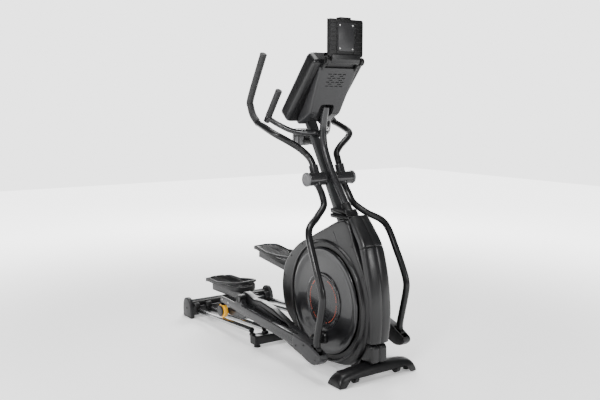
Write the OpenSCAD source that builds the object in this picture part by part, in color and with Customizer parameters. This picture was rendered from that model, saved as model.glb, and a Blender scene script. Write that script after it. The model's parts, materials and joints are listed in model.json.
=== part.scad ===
// Elliptical trainer: rear guide rails, front drive in a teardrop housing, leaning mast with
// swing arms and a console with a tablet holder. +X is the way the user faces, +Y the user's left.

/* [Stance] */
// Distance from the centre to each stabiliser foot, side to side
foot_y = 230; // [220:1:236]
// Side distance of the swing arms' lower ends
swing_y = 270; // [268:1:273]
// Centre line of the roller carriages between the two rails
carriage_y = 222; // [220:1:224]
// Distance between the two rails of one side
rail_gap = 84; // [82:1:88]
// Radius of a rail tube
rail_r = 16; // [14:0.5:17]

/* [Drive] */
// Distance from the crank axle to each crank pin
crank_r = 200; // [190:1:210]
// Radius of the crank disc
disc_r = 283; // [270:1:285]
// Height of the crank axle
crank_z = 340; // [338:1:342]
// Radius of the drive pulley
pulley_r = 150; // [130:1:155]
// Radius of the flywheel
flywheel_r = 85; // [70:1:88]
// Radius of a roller wheel
roller_r = 42; // [40:1:43]

/* [Mast and arms] */
// Height of the swing axle
axle_z = 976; // [970:1:980]
// Radius of the swing arm tubes
arm_r = 18; // [15:0.5:19]
// Radius of the pivot sleeves
sleeve_r = 35; // [33:0.5:36]
// Radius of the foam grips
grip_r = 19; // [18:0.5:21]

/* [Covers] */
// Wall thickness of the plastic shells
wall = 4; // [3:0.5:5]
// Half width of the drive housing
housing_y = 70; // [68:1:72]

/* [Hidden] */

$fn = 48;
clear = 0.3;          // gap between faces on different bodies
fit = 0.05;           // running fit, per side

crank_x = 435;
axle_x = 366;
fly_x = 680;
fly_z = 330;
fly_pulley_r = 30;
lean = 30.7;          // backward lean of the mast
rail_tilt = 3.8;      // rise of the rails toward the front
rail_back = -706;
rail_front = -12;
rail_back_z = 50;
swing_x = 640;        // pivot between swing arm and foot arm
swing_z = 160;
roller_x = [-350, -240];            // right, left carriage
pivot_off = [230, 120];             // foot-arm pivot from the roller axle, level arm
arm_len = 785;                      // roller axle to crank pin
wheel_w = 26;

function rail_z(x) = rail_back_z + (x - rail_back) * tan(rail_tilt);
function roller_z(x) = rail_z(x) + (rail_r + roller_r + clear) / cos(rail_tilt);
function rot2(p, a) = [p[0] * cos(a) - p[1] * sin(a), p[0] * sin(a) + p[1] * cos(a)];
// side: 0 is right (-Y), 1 is left (+Y)
function sgn(side) = side == 0 ? -1 : 1;
function pin_z(side) = crank_z + sgn(side) * crank_r;
function arm_tilt(side) = asin((pin_z(side) - roller_z(roller_x[side])) / arm_len);
function roller_at(side) = [roller_x[side], roller_z(roller_x[side])];
function pivot_at(side) = roller_at(side) + rot2(pivot_off, arm_tilt(side));
function foot_tilt(side) = let (p = pivot_at(side))
    atan2(p[1] - swing_z, swing_x - p[0]) - atan2(pivot_at(0)[1] - swing_z, swing_x - pivot_at(0)[0]);

// Closed smooth outline through a few points
function spline_point(a, b, c, d, t) = 0.5 * ((2 * b) + (c - a) * t
    + (2 * a - 5 * b + 4 * c - d) * t * t + (3 * b - a - 3 * c + d) * t * t * t);
function smooth_loop(p, steps = 5) = [for (i = [0 : len(p) - 1], j = [0 : steps - 1])
    spline_point(p[(i + len(p) - 1) % len(p)], p[i], p[(i + 1) % len(p)],
        p[(i + 2) % len(p)], j / steps)];
function shrink(p, c, d) = [for (q = p) c + (q - c) * (1 - d / norm(q - c))];

housing_c = [420, 360];
housing_pts = [[4, 334], [36, 474], [150, 590], [286, 660], [415, 722], [536, 776],
    [612, 776], [673, 661], [751, 521], [790, 406], [776, 240], [725, 120], [640, 44],
    [520, 18], [400, 18], [270, 56], [140, 122], [40, 205]];
housing_outline = smooth_loop(housing_pts);

// Extrudes a drawing of the X-Z plane from y0 to y1
module side_slab(y0, y1) {
    translate([0, y1, 0]) rotate([90, 0, 0]) linear_extrude(y1 - y0) children();
}

// Cylinder along Y from y0 to y1
module bar_y(x, z, r, y0, y1) {
    translate([x, y1, z]) rotate([90, 0, 0]) cylinder(r = r, h = y1 - y0);
}

// Straight rod between two points
module rod(a, b, r) {
    d = b - a;
    translate(a) rotate([0, acos(d[2] / norm(d)), atan2(d[1], d[0])]) cylinder(r = r, h = norm(d));
}

function unit(v) = v / norm(v);
function tangent(p, i) = unit(p[min(i + 1, len(p) - 1)] - p[max(i - 1, 0)]);
// Ring direction carried along the path without twisting
function carry(p, i) = i == 0 ? unit(cross(tangent(p, 0), [0.2, 1, 0.1]))
    : let (n = carry(p, i - 1), t = tangent(p, i)) unit(n - t * (n * t));
function smooth_path(p, steps = 4) = concat([for (i = [0 : len(p) - 2], j = [0 : steps - 1])
    spline_point(p[max(i - 1, 0)], p[i], p[i + 1], p[min(i + 2, len(p) - 1)], j / steps)],
    [p[len(p) - 1]]);

// Smooth bent tube of radius r along a path
module swept(p, r, sides = 12) {
    n = len(p);
    rings = [for (i = [0 : n - 1]) let (t = tangent(p, i), a = carry(p, i), b = cross(t, a))
        for (k = [0 : sides - 1]) p[i] + r * (cos(360 * k / sides) * a + sin(360 * k / sides) * b)];
    walls = [for (i = [0 : n - 2], k = [0 : sides - 1]) let (m = (k + 1) % sides)
        [i * sides + k, (i + 1) * sides + k, (i + 1) * sides + m, i * sides + m]];
    ends = [[for (k = [0 : sides - 1]) k],
        [for (k = [sides - 1 : -1 : 0]) (n - 1) * sides + k]];
    polyhedron(rings, concat(walls, ends), convexity = 6);
}

module box(a, b) {
    translate(a) cube(b - a);
}

// Repeats a right-hand part on the left
module both_sides() {
    children();
    mirror([0, 1, 0]) children();
}

module on_side(side) {
    if (side == 0) children();
    else mirror([0, 1, 0]) children();
}

steel_grey = [0.30, 0.30, 0.31];
plastic_black = [0.12, 0.12, 0.13];
plastic_grey = [0.32, 0.32, 0.34];
chrome_tone = [0.80, 0.81, 0.83];
roller_tone = [0.93, 0.62, 0.10];

// ---- Frame ----
beam_z = [22, 62];
beam_y = 30;
stab_x = [706, 737];
rear_x = [-812, -702];
mid_x = [-20, 40];
plate_y = [40, 46];
plate_pts = [[330, 70], [652, 70], [745, 300], [700, 400], [560, 690], [500, 700], [470, 440],
    [380, 400], [350, 300]];
bearing_r = [26, 20];     // crank, flywheel

module mast_space(grow, z0, z1) {
    x = axle_x - (z0 - axle_z) * tan(lean);
    translate([x, 0, z0]) rotate([0, -lean, 0])
        translate([-15 - grow, -30 - grow, 0])
            cube([30 + 2 * grow, 60 + 2 * grow, (z1 - z0) / cos(lean)]);
}

module main_frame() {
    color(steel_grey) {
        difference() {
            box([rear_x[1], -beam_y, beam_z[0]], [stab_x[0], beam_y, beam_z[1]]);
            box([rear_x[1] + 5, 3 - beam_y, beam_z[0] + 3],
                [stab_x[0] - 5, beam_y - 3, beam_z[1] - 3]);
        }
        box([330, -plate_y[1], beam_z[1]], [700, plate_y[1], 70]);
        for (y = [-plate_y[1], plate_y[0]]) difference() {
            side_slab(y, y + 6) polygon(plate_pts);
            bar_y(crank_x, crank_z, bearing_r[0], -90, 90);
            bar_y(fly_x, fly_z, bearing_r[1], -90, 90);
        }
        for (s = [-1, 1]) intersection() {
            box([470, s > 0 ? 30 : -plate_y[0], 560], [700, s > 0 ? plate_y[0] : -30, 690]);
            mast_space(10, 540, 720);
        }
    }
}

module wheel_axle_post(y, x, z, r) {
    for (s = [-1, 1]) box([stab_x[1], y + s * 17 - 2, 24], [x + 8, y + s * 17 + 2, 44]);
    bar_y(x, z, r, y - 19, y + 19);
}

trans_x = 766;
trans_z = 32;
trans_y = 133;
trans_r = 26;

module front_stabilizer() {
    color(steel_grey) {
        difference() {
            box([stab_x[0], -200, 30], [stab_x[1], 200, 62]);
            box([stab_x[0] + 3, -197, 33], [stab_x[1] - 3, 197, 59]);
        }
        both_sides() {
            box([stab_x[0] + 14, -foot_y, 20], [stab_x[1] + 34, -206, 36]);
            box([stab_x[0] + 14, -206, 31], [stab_x[1], -196, 36]);
            translate([744, -foot_y + 8, 0]) cylinder(r = 15, h = 20);
            wheel_axle_post(-trans_y, trans_x, trans_z, 5);
        }
    }
}

module transport_wheel() {
    color(plastic_black) difference() {
        bar_y(trans_x, trans_z, trans_r, -trans_y - 12, -trans_y + 12);
        bar_y(trans_x, trans_z, 5 + fit, -trans_y - 13, -trans_y + 13);
    }
}
module right_transport_wheel() { transport_wheel(); }
module left_transport_wheel() { on_side(1) transport_wheel(); }

wing_front = [[0, 86], [120, 80], [202, 69], [232, 52], [246, 26], [246, 4]];
wing_side = [[690, 4], [690, 45], [702, 68], [722, 82], [754, 88], [782, 78], [797, 55], [802, 4]];
module wing_solid(d) {
    f = [for (p = wing_front) [p[0] - (p[0] > 0 ? d : 0), p[1] - d]];
    c = [746, 40];
    intersection() {
        translate([690, 0, 0]) rotate([90, 0, 90]) linear_extrude(130)
            polygon(concat([for (p = f) [p[0], p[1]]], [[f[5][0], -9], [-f[5][0], -9]],
                [for (i = [5 : -1 : 1]) [-f[i][0], f[i][1]]]));
        side_slab(-300, 300) polygon([for (p = wing_side)
            [p[0] + (p[0] < c[0] ? d : -d), p[1] - (p[1] > 50 ? d : 0) - (d > 0 && p[1] < 5 ? 9 : 0)]]);
    }
}
module stabilizer_cover() {
    color(plastic_black) difference() {
        wing_solid(0);
        wing_solid(wall);
        box([690, -206, -10], [830, 206, 42]);
        box([690, -300, -10], [830, 300, 4]);
        box([680, -beam_y - 1, -10], [712, beam_y + 1, beam_z[1] + 1]);
        box([680, -plate_y[1] - 1, -10], [702, plate_y[1] + 1, 71]);
    }
}

module boot_solid(d) {
    side_slab(-50 + d, 50 - d) polygon([[640 + d, 86.3], [640 + d, 130], [700, 182 - d],
        [778 - d, 182 - d], [796 - d, 168 - d], [798 - d, 86.3]]);
}
module boot_cover() {
    color(plastic_black) difference() {
        boot_solid(0);
        difference() {
            boot_solid(wall);
            box([600, -60, 80], [640, 60, 90]);
        }
        side_slab(-80, 80) polygon(shrink(housing_outline, housing_c, -clear));
        stab_clear();
    }
}
module stab_clear() { box([690, -206, 20], [820, 206, 88.4]); }

ring_c = [440, 340];
screw_spots = [[30, 400], [105, 525], [215, 608], [655, 660], [735, 520], [765, 300], [690, 110],
    [45, 235], [165, 130]];

module half_shroud() {
    difference() {
        union() {
            difference() {
                side_slab(-housing_y, -0.2) polygon(housing_outline);
                side_slab(-housing_y + wall, 1) polygon(shrink(housing_outline, housing_c, wall));
            }
            difference() {
                bar_y(ring_c[0], ring_c[1], 321, -84, -housing_y);
                bar_y(ring_c[0], ring_c[1], 307, -90, -60);
            }
        }
        bar_y(crank_x, crank_z, 40, -100, 0);
        box([-20, -beam_y - clear, 0], [800, 1, beam_z[1] + clear]);
        box([320, -plate_y[1] - 2, 0], [712, 1, 72]);
        box([452, -31, 690], [600, 1, 900]);
        for (p = screw_spots) bar_y(p[0], p[1], 2.2, -90, -50);
    }
}
module right_shroud() { color(plastic_black) half_shroud(); }
module left_shroud() { color(plastic_black) on_side(1) half_shroud(); }

module shroud_screws() {
    color(steel_grey) both_sides() for (p = screw_spots) {
        bar_y(p[0], p[1], 2, -housing_y, -housing_y + 10);
        difference() {
            bar_y(p[0], p[1], 4.5, -housing_y - 2.5, -housing_y);
            bar_y(p[0], p[1], 1.5, -housing_y - 3, -housing_y - 1);
        }
    }
}

spine_pts = [[640, 812], [690, 752], [746, 674], [790, 534], [811, 400], [815, 280], [806, 190]];
module spine_layer(y, d) {
    side_slab(-y, y) polygon(concat([[600, 790]], [for (p = spine_pts) p - [d, d * 0.4]],
        [[700, 190], [600, 400]]));
}
module spine_cover() {
    color(plastic_black) difference() {
        union() {
            spine_layer(65, 16);
            spine_layer(52, 6);
            spine_layer(34, 0);
        }
        side_slab(-90, 90) polygon(shrink(housing_outline, housing_c, -clear));
        spine_layer(61, 20);
        box([500, -100, 700], [623, 100, 900]);
    }
}

module mast() {
    color(steel_grey) difference() {
        mast_space(0, 562, 1300);
        mast_space(-3, 566, 1296);
        bar_y(axle_x, axle_z, 11, -60, 60);
    }
}

tube_pts = [[578, 0, 742], [545, 0, 795], [512, 0, 848], [453, 0, 924], [390, 0, 1008], [344, 0, 1087],
    [317, 0, 1152], [309, 0, 1245], [332, 0, 1350]];
tube_r = 19;
module console_tube() { color(steel_grey) swept(smooth_path(tube_pts), tube_r); }

module mast_collar() {
    color(plastic_black) difference() {
        union() {
            side_slab(-46, 46) polygon([[436, 779], [600, 779], [590, 800], [430, 800]]);
            side_slab(-40, 40) polygon([[428, 800], [580, 800], [556, 830], [424, 826]]);
            rod([540, 0, 803], [504, 0, 858], 27);
        }
        mast_space(0, 700, 900);
        side_slab(-50, 50) polygon(shrink(housing_outline, housing_c, -clear));
        rod([590, 0, 723], [490, 0, 882], tube_r + 2.5);
    }
}

module pivot_axle() { color(chrome_tone) bar_y(axle_x, axle_z, 11, -140, 140); }
module axle_caps() {
    color(plastic_grey) both_sides() bar_y(axle_x, axle_z, 37, -154, -140);
}

module rail_line(y, r, x0, x1) {
    rod([x0, y, rail_z(x0)], [x1, y, rail_z(x1)], r);
}
rail_y = [carriage_y - rail_gap / 2, carriage_y + rail_gap / 2];
module guide_rails() {
    color(chrome_tone) both_sides() for (y = rail_y) difference() {
        rail_line(-y, rail_r, rail_back + 7, rail_front);
        rail_line(-y, rail_r - 2, rail_back + 9, rail_front + 5);
    }
}
module rear_stabilizer() {
    color(plastic_black) difference() {
        union() {
            box([rear_x[0], -290, 20], [rear_x[1], 290, 78]);
            box([rear_x[0] + 14, -290, 78], [rear_x[1] - 34, 290, 108]);
        }
        box([rear_x[0] + 4, -286, 16], [rear_x[1] - 4, 286, 74]);
    }
}
module tube_end_caps() {
    color(plastic_grey) both_sides() {
        side_slab(-314, -290.0) polygon([[-813, 0], [-815, 3], [-815, 62], [-811, 92], [-800, 114],
            [-782, 125], [-764, 127], [-745, 124], [-728, 111], [-713, 88], [-704, 58], [-698, 3], [-700, 0]]);
        box([mid_x[0] - 1, -270, 19], [mid_x[1] + 1, -262, 69.9]);
        for (y = rail_y) {
            rail_line(-y, rail_r, rail_front, rail_front + 5);
            rail_line(-y, rail_r - 2, rail_front - 12, rail_front);
        }
    }
}
level_x = 10;
level_y = 240;
module mid_foot() {
    color(plastic_black) difference() {
        union() {
            both_sides() {
                difference() {
                    box([mid_x[0], -262, 20], [mid_x[1], -beam_y, 70]);
                    box([mid_x[0] + 3, -259, 23], [mid_x[1] - 3, -beam_y - 3, 67]);
                }
                translate([level_x, -level_y, 23]) cylinder(r = 14, h = 44);
                box([-50, -278, 70], [20, -150, 82]);
            }
        }
        both_sides() {
            for (y = rail_y) rail_line(-y, rail_r, rail_back, 0);
            translate([level_x, -level_y, 10]) cylinder(r = 6 + fit, h = 52);
        }
    }
}
module leveler() {
    color(plastic_black) {
        translate([level_x, -level_y, 0]) cylinder(r = 20, h = 9);
        translate([level_x, -level_y, 9]) cylinder(r = 6, h = 40);
    }
}
module right_leveler() { leveler(); }
module left_leveler() { on_side(1) leveler(); }

// ---- Drive inside the housing ----
axle_r = 12.5;
fly_axle_r = 10;
module crank_bearings() {
    color(chrome_tone) both_sides() {
        difference() {
            bar_y(crank_x, crank_z, bearing_r[0], -plate_y[1], -plate_y[0]);
            bar_y(crank_x, crank_z, axle_r + fit, -60, 0);
        }
        difference() {
            bar_y(fly_x, fly_z, bearing_r[1], -plate_y[1], -plate_y[0]);
            bar_y(fly_x, fly_z, fly_axle_r + fit, -60, 0);
        }
    }
}
module crank_axle() { color(steel_grey) bar_y(crank_x, crank_z, axle_r, -76, 76); }
module drive_pulley() {
    color(plastic_black) difference() {
        bar_y(crank_x, crank_z, pulley_r, -12, 8);
        bar_y(crank_x, crank_z, axle_r, -20, 20);
        for (a = [0 : 60 : 300]) bar_y(crank_x + 90 * cos(a), crank_z + 90 * sin(a), 30, -20, 20);
    }
}
module crank_disc(side) {
    pz = pin_z(side);
    on_side(side) {
        difference() {
            union() {
                bar_y(crank_x, crank_z, disc_r, -84, -76);
                bar_y(crank_x, crank_z, 148, -88, -84);
            }
            bar_y(crank_x, crank_z, axle_r, -77, -70);
            bar_y(crank_x, pz, 28, -90, -70);
        }
        bar_y(crank_x, pz, 28, -150, -76);
        bar_y(crank_x, pz, 12, -237, -150);
    }
}
module right_crank_disc() { color(plastic_black) crank_disc(0); }
module left_crank_disc() { color(plastic_black) crank_disc(1); }
module flywheel() {
    color(steel_grey) {
        bar_y(fly_x, fly_z, flywheel_r, 12, 36);
        bar_y(fly_x, fly_z, fly_pulley_r, -12, 12);
        bar_y(fly_x, fly_z, fly_axle_r, -46, -12);
        bar_y(fly_x, fly_z, fly_axle_r, 36, 46);
    }
}
// Outline of a belt of radius grow round both pulleys
module belt_outline(grow) {
    d = fly_x - crank_x;
    t = atan2(fly_z - crank_z, d);
    a = acos((pulley_r - fly_pulley_r) / norm([d, fly_z - crank_z]));
    p = pulley_r + grow;
    q = fly_pulley_r + grow;
    translate([crank_x, crank_z]) circle(r = p);
    translate([fly_x, fly_z]) circle(r = q);
    polygon([[crank_x + p * cos(t + a), crank_z + p * sin(t + a)],
        [fly_x + q * cos(t + a), fly_z + q * sin(t + a)],
        [fly_x + q * cos(t - a), fly_z + q * sin(t - a)],
        [crank_x + p * cos(t - a), crank_z + p * sin(t - a)]]);
}
module drive_belt() {
    color([0.1, 0.1, 0.1]) side_slab(-11, 7) difference() {
        belt_outline(clear + 3);
        belt_outline(clear);
    }
}
idler_r = 20;
idler_p = let (d = fly_x - crank_x, t = atan2(fly_z - crank_z, d),
    a = t - acos((pulley_r - fly_pulley_r) / norm([d, fly_z - crank_z])),
    m = [crank_x * 0.4 + fly_x * 0.6, crank_z * 0.4 + fly_z * 0.6],
    r = pulley_r * 0.4 + fly_pulley_r * 0.6 + 2 * clear + 3 + idler_r)
    m + [r * cos(a), r * sin(a)];
module idler_pulley() {
    color(plastic_grey) {
        bar_y(idler_p[0], idler_p[1], idler_r, -11, 7);
        bar_y(idler_p[0], idler_p[1], 5, -39.7, 39.7);
    }
}
module brake_magnet() {
    color(steel_grey) difference() {
        side_slab(8, 39.7) polygon([[640, 425], [700, 430], [745, 395], [752, 352], [700, 372],
            [640, 390]]);
        bar_y(fly_x, fly_z, flywheel_r + 2, 10, 38);
    }
}
module control_board() {
    color([0.1, 0.3, 0.15]) {
        box([150, -60, 230], [290, -57, 330]);
        for (x = [175, 215, 255]) box([x, -57, 250], [x + 20, -45, 300]);
    }
}
module power_inlet() {
    color(plastic_black) difference() {
        box([90, 30, 24], [130, 58, 58]);
        box([96, 44, 30], [124, 60, 52]);
    }
}

// ---- Pedal arms, rollers and foot arms ----
arm_pts = [[-34, -16], [60, -22], [200, -16], [290, 40], [407, 52], [560, 12], [700, -40],
    [785, -52], [838, -40], [842, 30], [800, 50], [727, 56], [640, 86], [520, 120], [407, 135],
    [320, 128], [262, 146], [230, 154], [196, 140], [186, 90], [160, 30], [100, 18], [-34, 18]];
axle_stub_r = 8;
foot_pin_r = 14;
module pedal_arm(side) {
    p = roller_at(side);
    q = pivot_at(side);
    y0 = carriage_y - 20;
    y1 = carriage_y + 22;
    on_side(side) {
        difference() {
            translate([p[0], 0, p[1]]) rotate([0, -arm_tilt(side), 0])
                side_slab(-y1, -y0) polygon(arm_pts);
            bar_y(q[0], q[1], foot_pin_r + fit, -300, 0);
            translate([crank_x - 17, -y1 + 3, pin_z(side) - 35]) cube([34, 60, 70]);
        }
        bar_y(p[0], p[1], axle_stub_r, -y0, -rail_y[0] + 15);
        bar_y(p[0], p[1], axle_stub_r, -rail_y[1] - 15, -y1);
        side_slab(-rail_y[0] + 15, -rail_y[0] + 18) roller_cap(p, roller_r + 5);
        side_slab(-rail_y[1] - 18, -rail_y[1] - 15) roller_cap(p, roller_r + 5);
    }
}
module roller_cap(p, r) {
    intersection() {
        translate(p) circle(r = r);
        translate(p + [-60, -24]) square([120, 90]);
    }
}
module right_pedal_arm() { color(plastic_grey) pedal_arm(0); }
module left_pedal_arm() { color(plastic_grey) pedal_arm(1); }

module rollers(side) {
    p = roller_at(side);
    on_side(side) for (y = rail_y) difference() {
        bar_y(p[0], p[1], roller_r, -y - wheel_w / 2, -y + wheel_w / 2);
        bar_y(p[0], p[1], axle_stub_r + fit, -y - 20, -y + 20);
    }
}
module right_rollers() { color(roller_tone) rollers(0); }
module left_rollers() { color(roller_tone) rollers(1); }

// Puts a part drawn for the right foot arm on either side
module foot_place(side) {
    a = pivot_at(0);
    b = pivot_at(side);
    on_side(side) translate([b[0], 0, b[1]]) rotate([0, foot_tilt(side), 0])
        translate([-a[0], 0, -a[1]]) children();
}
inner_y = [146, 190];
outer_y = [247, 286];
bolt_r = 7;
module foot_arm(side) {
    p = pivot_at(0);
    foot_place(side) {
        side_slab(-inner_y[1], -inner_y[0]) polygon([[-632, 189], [-98, 206], [-90, 256],
            [-632, 240]]);
        bar_y(p[0], p[1], 25, -202 + 0.6, -190);
        bar_y(p[0], p[1], foot_pin_r, -outer_y[0], -190);
        side_slab(-outer_y[1], -outer_y[0]) polygon([[-352, 196], [-332, 236], [-160, 229],
            [-135, 278], [-105, 278], [-84, 226], [409, 196], [540, 190], [592, 176], [598, 140],
            [540, 132], [409, 137], [-320, 188]]);
        bar_y(p[0], p[1], 25, -outer_y[0], -245);
        bar_y(swing_x, swing_z, bolt_r, -cover_y[1] + 5, -cover_y[0] - 5);
    }
}
module right_foot_arm() { color(plastic_grey) foot_arm(0); }
module left_foot_arm() { color(plastic_grey) foot_arm(1); }

cover_pts = [[462, 124], [452, 165], [464, 202], [520, 197], [570, 191], [604, 186], [700, 152],
    [706, 130], [682, 102], [640, 88], [596, 92], [530, 112]];
cover_y = [245.5, 298];
module foot_cover(side) {
    foot_place(side) difference() {
        side_slab(-cover_y[1], -cover_y[0]) polygon(cover_pts);
        side_slab(-cover_y[1] + 5, -cover_y[0] - 5) polygon([[300, 100], [300, 230], [690, 230],
            [698, 136], [677, 108], [640, 94], [599, 98], [534, 118], [500, 129], [440, 128]]);
        side_slab(-outer_y[1] - clear, -outer_y[0] + clear)
            polygon([[300, 120], [300, 210], [470, 210], [470, 194], [541, 190.6], [592.6, 176.6],
                [598.7, 139.5], [540, 131.3], [470, 134], [470, 120]]);
    }
}
module right_foot_cover() { color(plastic_grey) foot_cover(0); }
module left_foot_cover() { color(plastic_grey) foot_cover(1); }

pedal_y = 170;
pedal_outline = smooth_loop([[-638, -40], [-610, -78], [-490, -88], [-370, -90], [-270, -82],
    [-228, -40], [-228, 40], [-270, 82], [-370, 90], [-490, 88], [-610, 78], [-638, 40]], 3);
pedal_inner = [for (p = pedal_outline) [-433, 0] + (p - [-433, 0]) * 0.93];
module pedal(side) {
    foot_place(side) translate([0, -pedal_y, 0]) {
        side_slab(-16, 16) polygon([[-610, 240.7], [-280, 250.6], [-280, 266], [-610, 266]]);
        translate([0, 0, 266]) linear_extrude(16) polygon(pedal_outline);
        translate([0, 0, 282]) linear_extrude(24) difference() {
            polygon(pedal_outline);
            polygon(pedal_inner);
            translate([-700, -100]) square([180, 200]);
        }
    }
}
module right_pedal() { color(plastic_black) pedal(0); }
module left_pedal() { color(plastic_black) pedal(1); }

// ---- Swing arms ----
sleeve_y = [33.3, 138];
lower_pts = [[384, -85, 942], [420, -86, 898], [452, -98, 846], [482, -160, 795],
    [534, -248, 734], [612, -swing_y + 4, 592], [680, -swing_y, 464], [690, -swing_y, 430],
    [662, -swing_y, 320], [638, -swing_y, 215], [swing_x, -swing_y, swing_z + 19]];
upper_pts = [[337.2, -85, 1046.4], [318, -89, 1077], [293, -101, 1105], [275, -140, 1140],
    [252, -205, 1181], [220, -244, 1208], [156, -256, 1234], [63, -256, 1265]];
grip_pts = [[63, -256, 1265], [12, -256, 1304], [-14, -256, 1352], [-12, -256, 1400],
    [122, -256, 1622]];
socket_end = [337, -85, 1046];
module upper_socket() { rod([axle_x, -85, axle_z], socket_end, 25); }
module lower_socket() { rod([axle_x, -85, axle_z], lower_pts[0], arm_r + 2); }
module sleeve() {
    difference() {
        union() {
            bar_y(axle_x, axle_z, sleeve_r, -sleeve_y[1], -sleeve_y[0]);
            upper_socket();
            lower_socket();
        }
        bar_y(axle_x, axle_z, 11 + fit, -150, 0);
    }
}
module right_sleeve() { color(steel_grey) sleeve(); }
module left_sleeve() { color(steel_grey) on_side(1) sleeve(); }
module lower_arm() {
    difference() {
        swept(smooth_path(lower_pts, 3), arm_r);
        lower_socket();
    }
    difference() {
        bar_y(swing_x, swing_z, 23, -swing_y - 14, -swing_y + 14);
        bar_y(swing_x, swing_z, 16, -400, 0);
    }
}
module right_lower_arm() { color(steel_grey) lower_arm(); }
module left_lower_arm() { color(steel_grey) on_side(1) lower_arm(); }
grip_core = 13;
module upper_bar() {
    difference() {
        swept(smooth_path(upper_pts), arm_r);
        upper_socket();
    }
    swept(smooth_path(grip_pts), grip_core);
}
module right_upper_bar() { color(steel_grey) upper_bar(); }
module left_upper_bar() { color(steel_grey) on_side(1) upper_bar(); }
module grip() {
    path = smooth_path(grip_pts);
    tip = unit(grip_pts[4] - grip_pts[3]);
    difference() {
        swept(concat([for (i = [1 : len(path) - 1]) path[i]], [grip_pts[4] + 8 * tip]), grip_r);
        swept(path, grip_core);
    }
}
module right_grip() { color(plastic_black) grip(); }
module left_grip() { color(plastic_black) on_side(1) grip(); }

// ---- Console, handlebar, bottle holder and tablet holder ----
console_at = [133, 0, 1329];
console_lean = 41.4;
console_w = 160;
console_t = 82;
console_z = [-12, 402];
module console_space() {
    translate(console_at) rotate([0, console_lean, 0]) children();
}
// Rounded slab across the console, x0 to x1 thick, narrowed by d all round
module console_slab(x0, x1, d) {
    r = 34 - d;
    translate([x0, 0, 0]) rotate([90, 0, 90]) linear_extrude(x1 - x0) {
        for (y = [-1, 1], z = console_z)
            translate([y * (console_w - 34), z == console_z[0] ? z + 34 : z - 34]) circle(r = r);
        translate([-console_w + d, console_z[0] + 34])
            square([2 * (console_w - d), console_z[1] - console_z[0] - 68]);
        translate([-console_w + 34, console_z[0] + d])
            square([2 * (console_w - 34), console_z[1] - console_z[0] - 2 * d]);
    }
}
button_z = 6;
button_y = 26;
module console_frame() {
    color(plastic_black) difference() {
        console_space() difference() {
            console_slab(0, console_t, 0);
            console_slab(5, console_t - 4, 5);
            translate([-1, -134, 24]) cube([10, 268, 352]);
            for (s = [-1, 1]) translate([-1, s * button_y, button_z])
                rotate([0, 90, 0]) cylinder(r = 8 + clear, h = 12);
        }
        mast_space(0, 1180, 1320);
    }
}
module console_back() {
    color(plastic_grey) {
        console_space() back_shell();
        both_sides() difference() {
            union() {
                bar_y(hinge_p[0], hinge_p[1], 20, -112, -98);
                console_space() translate([console_t + 4, -110, 370 + clear]) cube([12, 10, 47]);
            }
            bar_y(hinge_p[0], hinge_p[1], 5 + fit, -200, 0);
        }
    }
}
module back_shell() {
    difference() {
        intersection() {
            side_slab(-118, 118) polygon([[console_t, -4], [100, -4], [150, 110], [150, 126],
                [93, 366], [console_t, 370]]);
            translate([0, 0, -10]) rotate([90, 0, 90]) linear_extrude(200)
                polygon([[-90, 0], [90, 0], [118, 380], [-118, 380]]);
        }
        side_slab(-114, 114) polygon([[console_t - 1, 0], [98, 0], [146, 110], [146, 125],
            [90, 362], [console_t - 1, 362]]);
        translate([console_t - 2, -42, -20]) cube([100, 84, 190]);
    }
}
hinge_p = [489, 1579];
module display() {
    color([0.02, 0.02, 0.03]) console_space() {
        translate([1, -133.5, 24.5]) cube([9, 267, 351]);
        translate([10, -110, 60]) cube([20, 220, 260]);
    }
}
module console_button(s) {
    console_space() translate([-2.5, s * button_y, button_z]) rotate([0, 90, 0]) {
        cylinder(r = 8, h = 8);
        translate([0, 0, 8]) cylinder(r = 10, h = 2);
    }
}
module start_button() { color([0.1, 0.5, 0.2]) console_button(-1); }
module stop_button() { color([0.7, 0.1, 0.1]) console_button(1); }

bar_pts = [[74, -200, 1292], [118, -172, 1262], [176, -126, 1228], [226, -84, 1215],
    [260, -40, 1214], [260, 40, 1214], [226, 84, 1215], [176, 126, 1228], [118, 172, 1262],
    [74, 200, 1292]];
bar_grip = [[84, -200, 1304], [184, -200, 1432]];
module fixed_handlebar() {
    color(steel_grey) {
        swept(smooth_path(bar_pts, 3), 15);
        both_sides() {
            rod([60, -200, 1273], [84, -200, 1304], 18);
            rod([84, -200, 1304], bar_grip[1], 13);
        }
    }
}
module fixed_grips() {
    color(plastic_black) both_sides() difference() {
        rod(bar_grip[0] + [0.2, 0, 0.25], bar_grip[1] + [5, 0, 6.4], 18);
        rod(bar_grip[0] - [8, 0, 10.24], bar_grip[1], 13);
    }
}
cup_x = 106;
cup_z = [1140, 1232];
module bottle_holder() {
    color(plastic_black) difference() {
        union() {
            translate([cup_x, 0, cup_z[0]]) cylinder(r = 50, h = cup_z[1] - cup_z[0]);
            translate([cup_x, 0, cup_z[1] - 8]) cylinder(r = 60, h = 8);
            box([cup_x, -24, 1148], [236, 24, 1180]);
        }
        translate([cup_x, 0, cup_z[0] + 4]) cylinder(r = 46, h = 100);
        mast_space(0, 1080, 1230);
    }
}

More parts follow.
